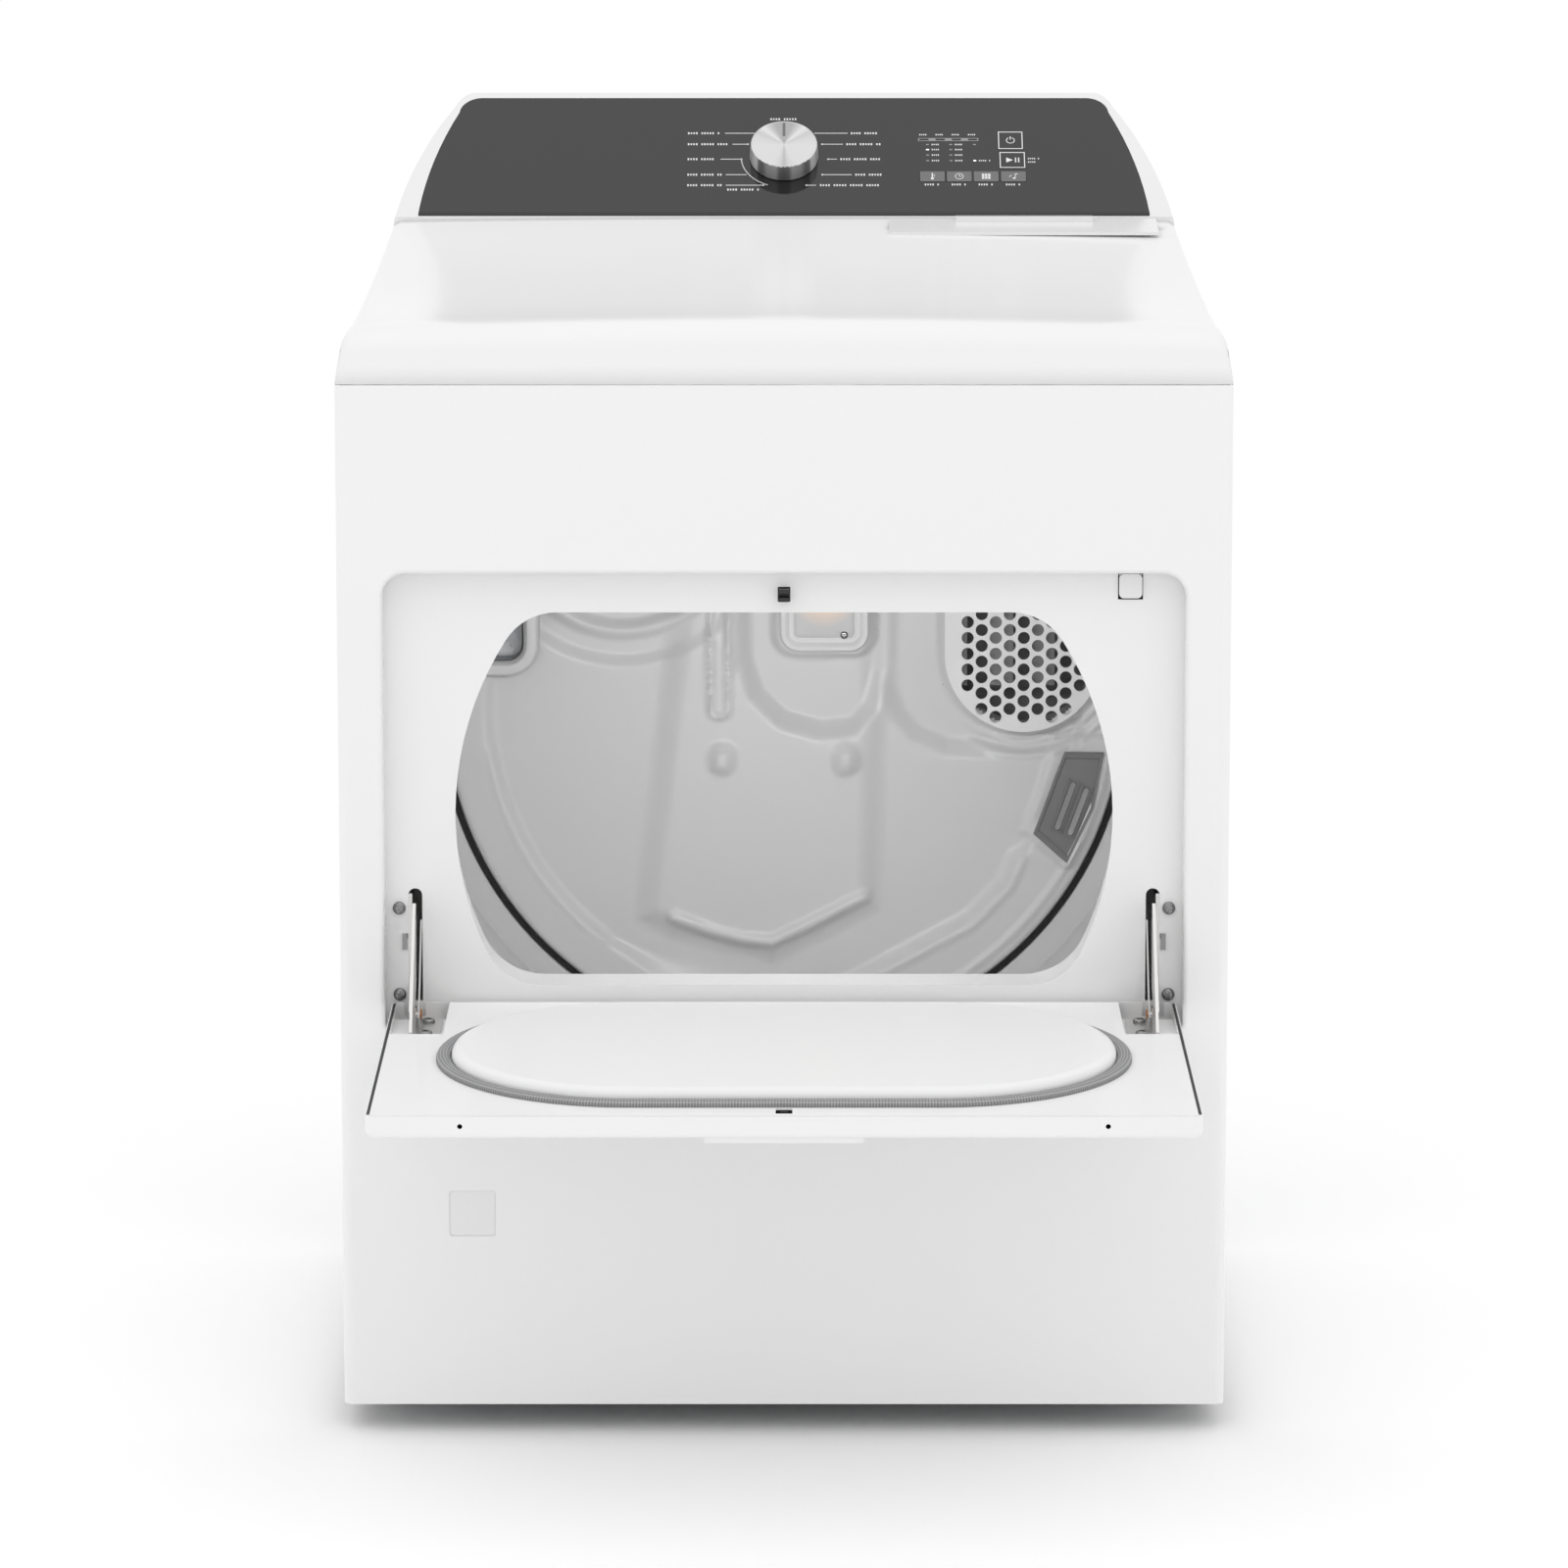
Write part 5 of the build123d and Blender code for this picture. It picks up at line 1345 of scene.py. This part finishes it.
    def icon(self, name, x, v):
        """A small plain icon: a column, a clock face, a grid or a note."""
        def small(dx, dv, width, height, turn=0.0):
            return self.bar(x + dx, v + dv, width, height, *KEY_PRINT, turn)
        if name == "temperature_button":
            return [small(0, 1, 1.2, 6.4), small(0, -2.8, 2.6, 2.4), small(1.8, 2, 1.4, 0.6),
                    small(1.8, 0, 1.4, 0.6)]
        if name == "time_button":
            ring = [small(3.6 * cos(a), 3.6 * sin(a), 1.6, 0.6, a + pi / 2)
                    for a in np.arange(16) * pi / 8]
            return ring + [small(0, 1.1, 0.6, 2.6), small(1.0, 0, 2.2, 0.6)]
        if name == "options_button":
            return [small(dx, dv, 2.2, 1.9) for dx in (-2.8, 0, 2.8) for dv in (-2.4, 0, 2.4)]
        return [small(1.6, 0.6, 0.6, 6.0), small(0.6, -2.4, 2.4, 1.8), small(2.6, 3.0, 2.4, 0.9),
                small(-2.8, 0.4, 3.2, 0.7, 0.9)]


class DRYER_OT_door_trim(bpy.types.Operator):
    """Black strips of painted shade in the door's side gaps, the hinge links with their bushings,
    and the stops beside them
    """
    bl_idname = "dryer.door_trim"
    bl_label = "Door and hinge trim"

    def execute(self, context):
        # Painted shade: thin black strips fill the gaps between the door's inner and outer
        # panels.
        edge, low, high = 324.6, 352.0, 715.0
        strips = [block(sorted((side * edge, side * (edge - 2.4))), (16.9, 18.15), (low, high))
                  for side in (-1, 1)]
        points, faces = gather(strips)
        make_piece("door_side_gaskets", swing(points), faces, "door", "black_rubber")
        links, bushings, stops = [], [], []
        for side in (-1, 1):
            links.append(self.link(side))
            for x, width, radius in ((301.6, 1.4, 4.6), (308.2, 0.9, 7.0)):
                bushings.append(self.bushing(side * x, width, radius))
            for x, z in (((313.2, 317.4), (406.8, 420.5)), ((312.4, 313.6), (416.5, 420.5))):
                stops.append(block(sorted((side * x[0], side * x[1])), (22.4, 23.9), z))
        make_piece("hinge_links", *gather(links), "cabinet", "hinge_steel")
        make_piece("hinge_bushings", *gather(bushings), "cabinet", "foot_plastic",
                   finish="bushing")
        make_piece("hinge_stops", *gather(stops), "cabinet", "grey_plastic")
        return {"FINISHED"}

    def link(self, side):
        """A thin bar that leans from the slot's middle down to the hinge pin."""
        outline = ((24.5, 432), (28, 432), (28, 425), (16, 353), (9, 349), (5, 353), (8, 362),
                   (15, 379))
        points = []
        for thick in (0.0, 1.4):
            for y, z in outline:
                lean = 2.0 * (432 - z) / 83
                points.append((side * (300.9 + lean + thick), y, z))
        return points, prism_faces(len(outline))

    def bushing(self, x, width, radius):
        """A short round collar on the hinge pin."""
        turns = np.arange(24) * pi / 12
        points = [(x + shift, HINGE_Y + radius * cos(turn), HINGE_Z + radius * sin(turn))
                  for shift in (-width / 2, width / 2) for turn in turns]
        return points, prism_faces(len(turns))


class DRYER_OT_lint_cloth(bpy.types.Operator):
    """The fine mesh stretched across the lint screen's windows"""
    bl_idname = "dryer.lint_cloth"
    bl_label = "Lint mesh"

    def execute(self, context):
        width, length, yarn = 212.0, 255.0, 0.8
        left, top, pitch, window = 109.0, 22.0, 72.667, 66.667
        columns, rows, slack = 61, 61, 0.35
        hung_y, hung_z, tilt = 546, 974, radians(28.5)
        points = []
        for row in range(rows):
            down = top + length * row / (rows - 1)
            for column in range(columns):
                x = left + width * column / (columns - 1)
                across = min(((x - left) % pitch) / window, 1.0)
                bulge = slack * sin(pi * across) * sin(pi * (down - top) / length)
                points.append((x, hung_y + down * sin(tilt) - bulge * cos(tilt),
                               hung_z - down * cos(tilt) - bulge * sin(tilt)))
        piece = make_piece("lint_mesh_cloth", points, quads(rows, columns), "lint_screen",
                           "mesh_fabric", ("lint_screen_mesh",), facing=(1, -1))
        layer = piece.data.uv_layers.new(name="UVMap")
        for corner in piece.data.loops:
            x, y, z = piece.data.vertices[corner.vertex_index].co
            down = (hung_z * MM - z) / cos(tilt)
            layer.data[corner.index].uv = (x / (2 * yarn * MM), down / (2 * yarn * MM))
        thicken(piece, 0.25)
        return {"FINISHED"}


class DRYER_OT_screws(bpy.types.Operator):
    """Pan-head screws on the hinges, the lamp, the door and the rear panel"""
    bl_idname = "dryer.screws"
    bl_label = "Screws"

    def execute(self, context):
        radius = context.scene.dryer_sizes.screw / MM
        hinge = [(x, 24.0, z) for x in (-319.8, 319.8) for z in (369.2, 442.0)]
        pocket = swing([(x, 12.5, z) for x in (-293, 293) for z in (392, 434)])
        rear = [(x, 700.0, z) for x in (-352, 352) for z in (45, 250, 450, 650, 865)]
        rear += [(x, 700.0, z) for x in (-180, 0, 180) for z in (42, 867)]
        for name, size, points, body, facing, seed, hides in (
                ("hinge_screws", (radius, 3.2), hinge, "cabinet", pi / 2, 3,
                 ("bracket_screws",)),
                ("lamp_screw", (3.6, 2.0), [(54.8, 576.2, 600.0)], "cabinet", pi / 2, 5, ()),
                ("door_screws", (5.2, 3.0), pocket, "door", DOOR_OPEN - pi / 2, 4, ()),
                ("rear_screws", (4.6, 2.4), rear, "cabinet", -pi / 2, 6, ())):
            repeat(name, screw_head(*size), points, body, "screw_chrome", (facing, 0, 0),
                   turn=pi, seed=seed, hides=hides)
        return {"FINISHED"}


class DRYER_PT_panel(bpy.types.Panel):
    """Sizes, colours and the steps that build the machine"""
    bl_label = "Clothes dryer"
    bl_space_type = "VIEW_3D"
    bl_region_type = "UI"
    bl_category = "Dryer"

    def draw(self, context):
        layout = self.layout
        for group in (context.scene.dryer_paint, context.scene.dryer_sizes,
                      context.scene.dryer_stage):
            box = layout.box()
            for name in group.bl_rna.properties.keys():
                if name not in ("rna_type", "name"):
                    box.prop(group, name)
        for step in STEPS:
            layout.operator(step.bl_idname)


STEPS = (DRYER_OT_stage, DRYER_OT_finishes, DRYER_OT_deck, DRYER_OT_bulkhead,
         DRYER_OT_drum_fittings, DRYER_OT_seal, DRYER_OT_door_trim, DRYER_OT_lint_cloth,
         DRYER_OT_knob, DRYER_OT_marks, DRYER_OT_screws)
CLASSES = (DRYER_PG_paint, DRYER_PG_sizes, DRYER_PG_stage, *STEPS, DRYER_PT_panel)


def register():
    for cls in CLASSES:
        bpy.utils.register_class(cls)
    bpy.types.Scene.dryer_paint = bpy.props.PointerProperty(type=DRYER_PG_paint)
    bpy.types.Scene.dryer_sizes = bpy.props.PointerProperty(type=DRYER_PG_sizes)
    bpy.types.Scene.dryer_stage = bpy.props.PointerProperty(type=DRYER_PG_stage)


def unregister():
    for name in ("dryer_paint", "dryer_sizes", "dryer_stage"):
        delattr(bpy.types.Scene, name)
    for cls in reversed(CLASSES):
        bpy.utils.unregister_class(cls)


def main():
    bpy.context.view_layer.update()
    register()
    for step in STEPS:
        family, name = step.bl_idname.split(".")
        getattr(getattr(bpy.ops, family), name)()
    bpy.context.view_layer.update()


if __name__ == "__main__":
    main()
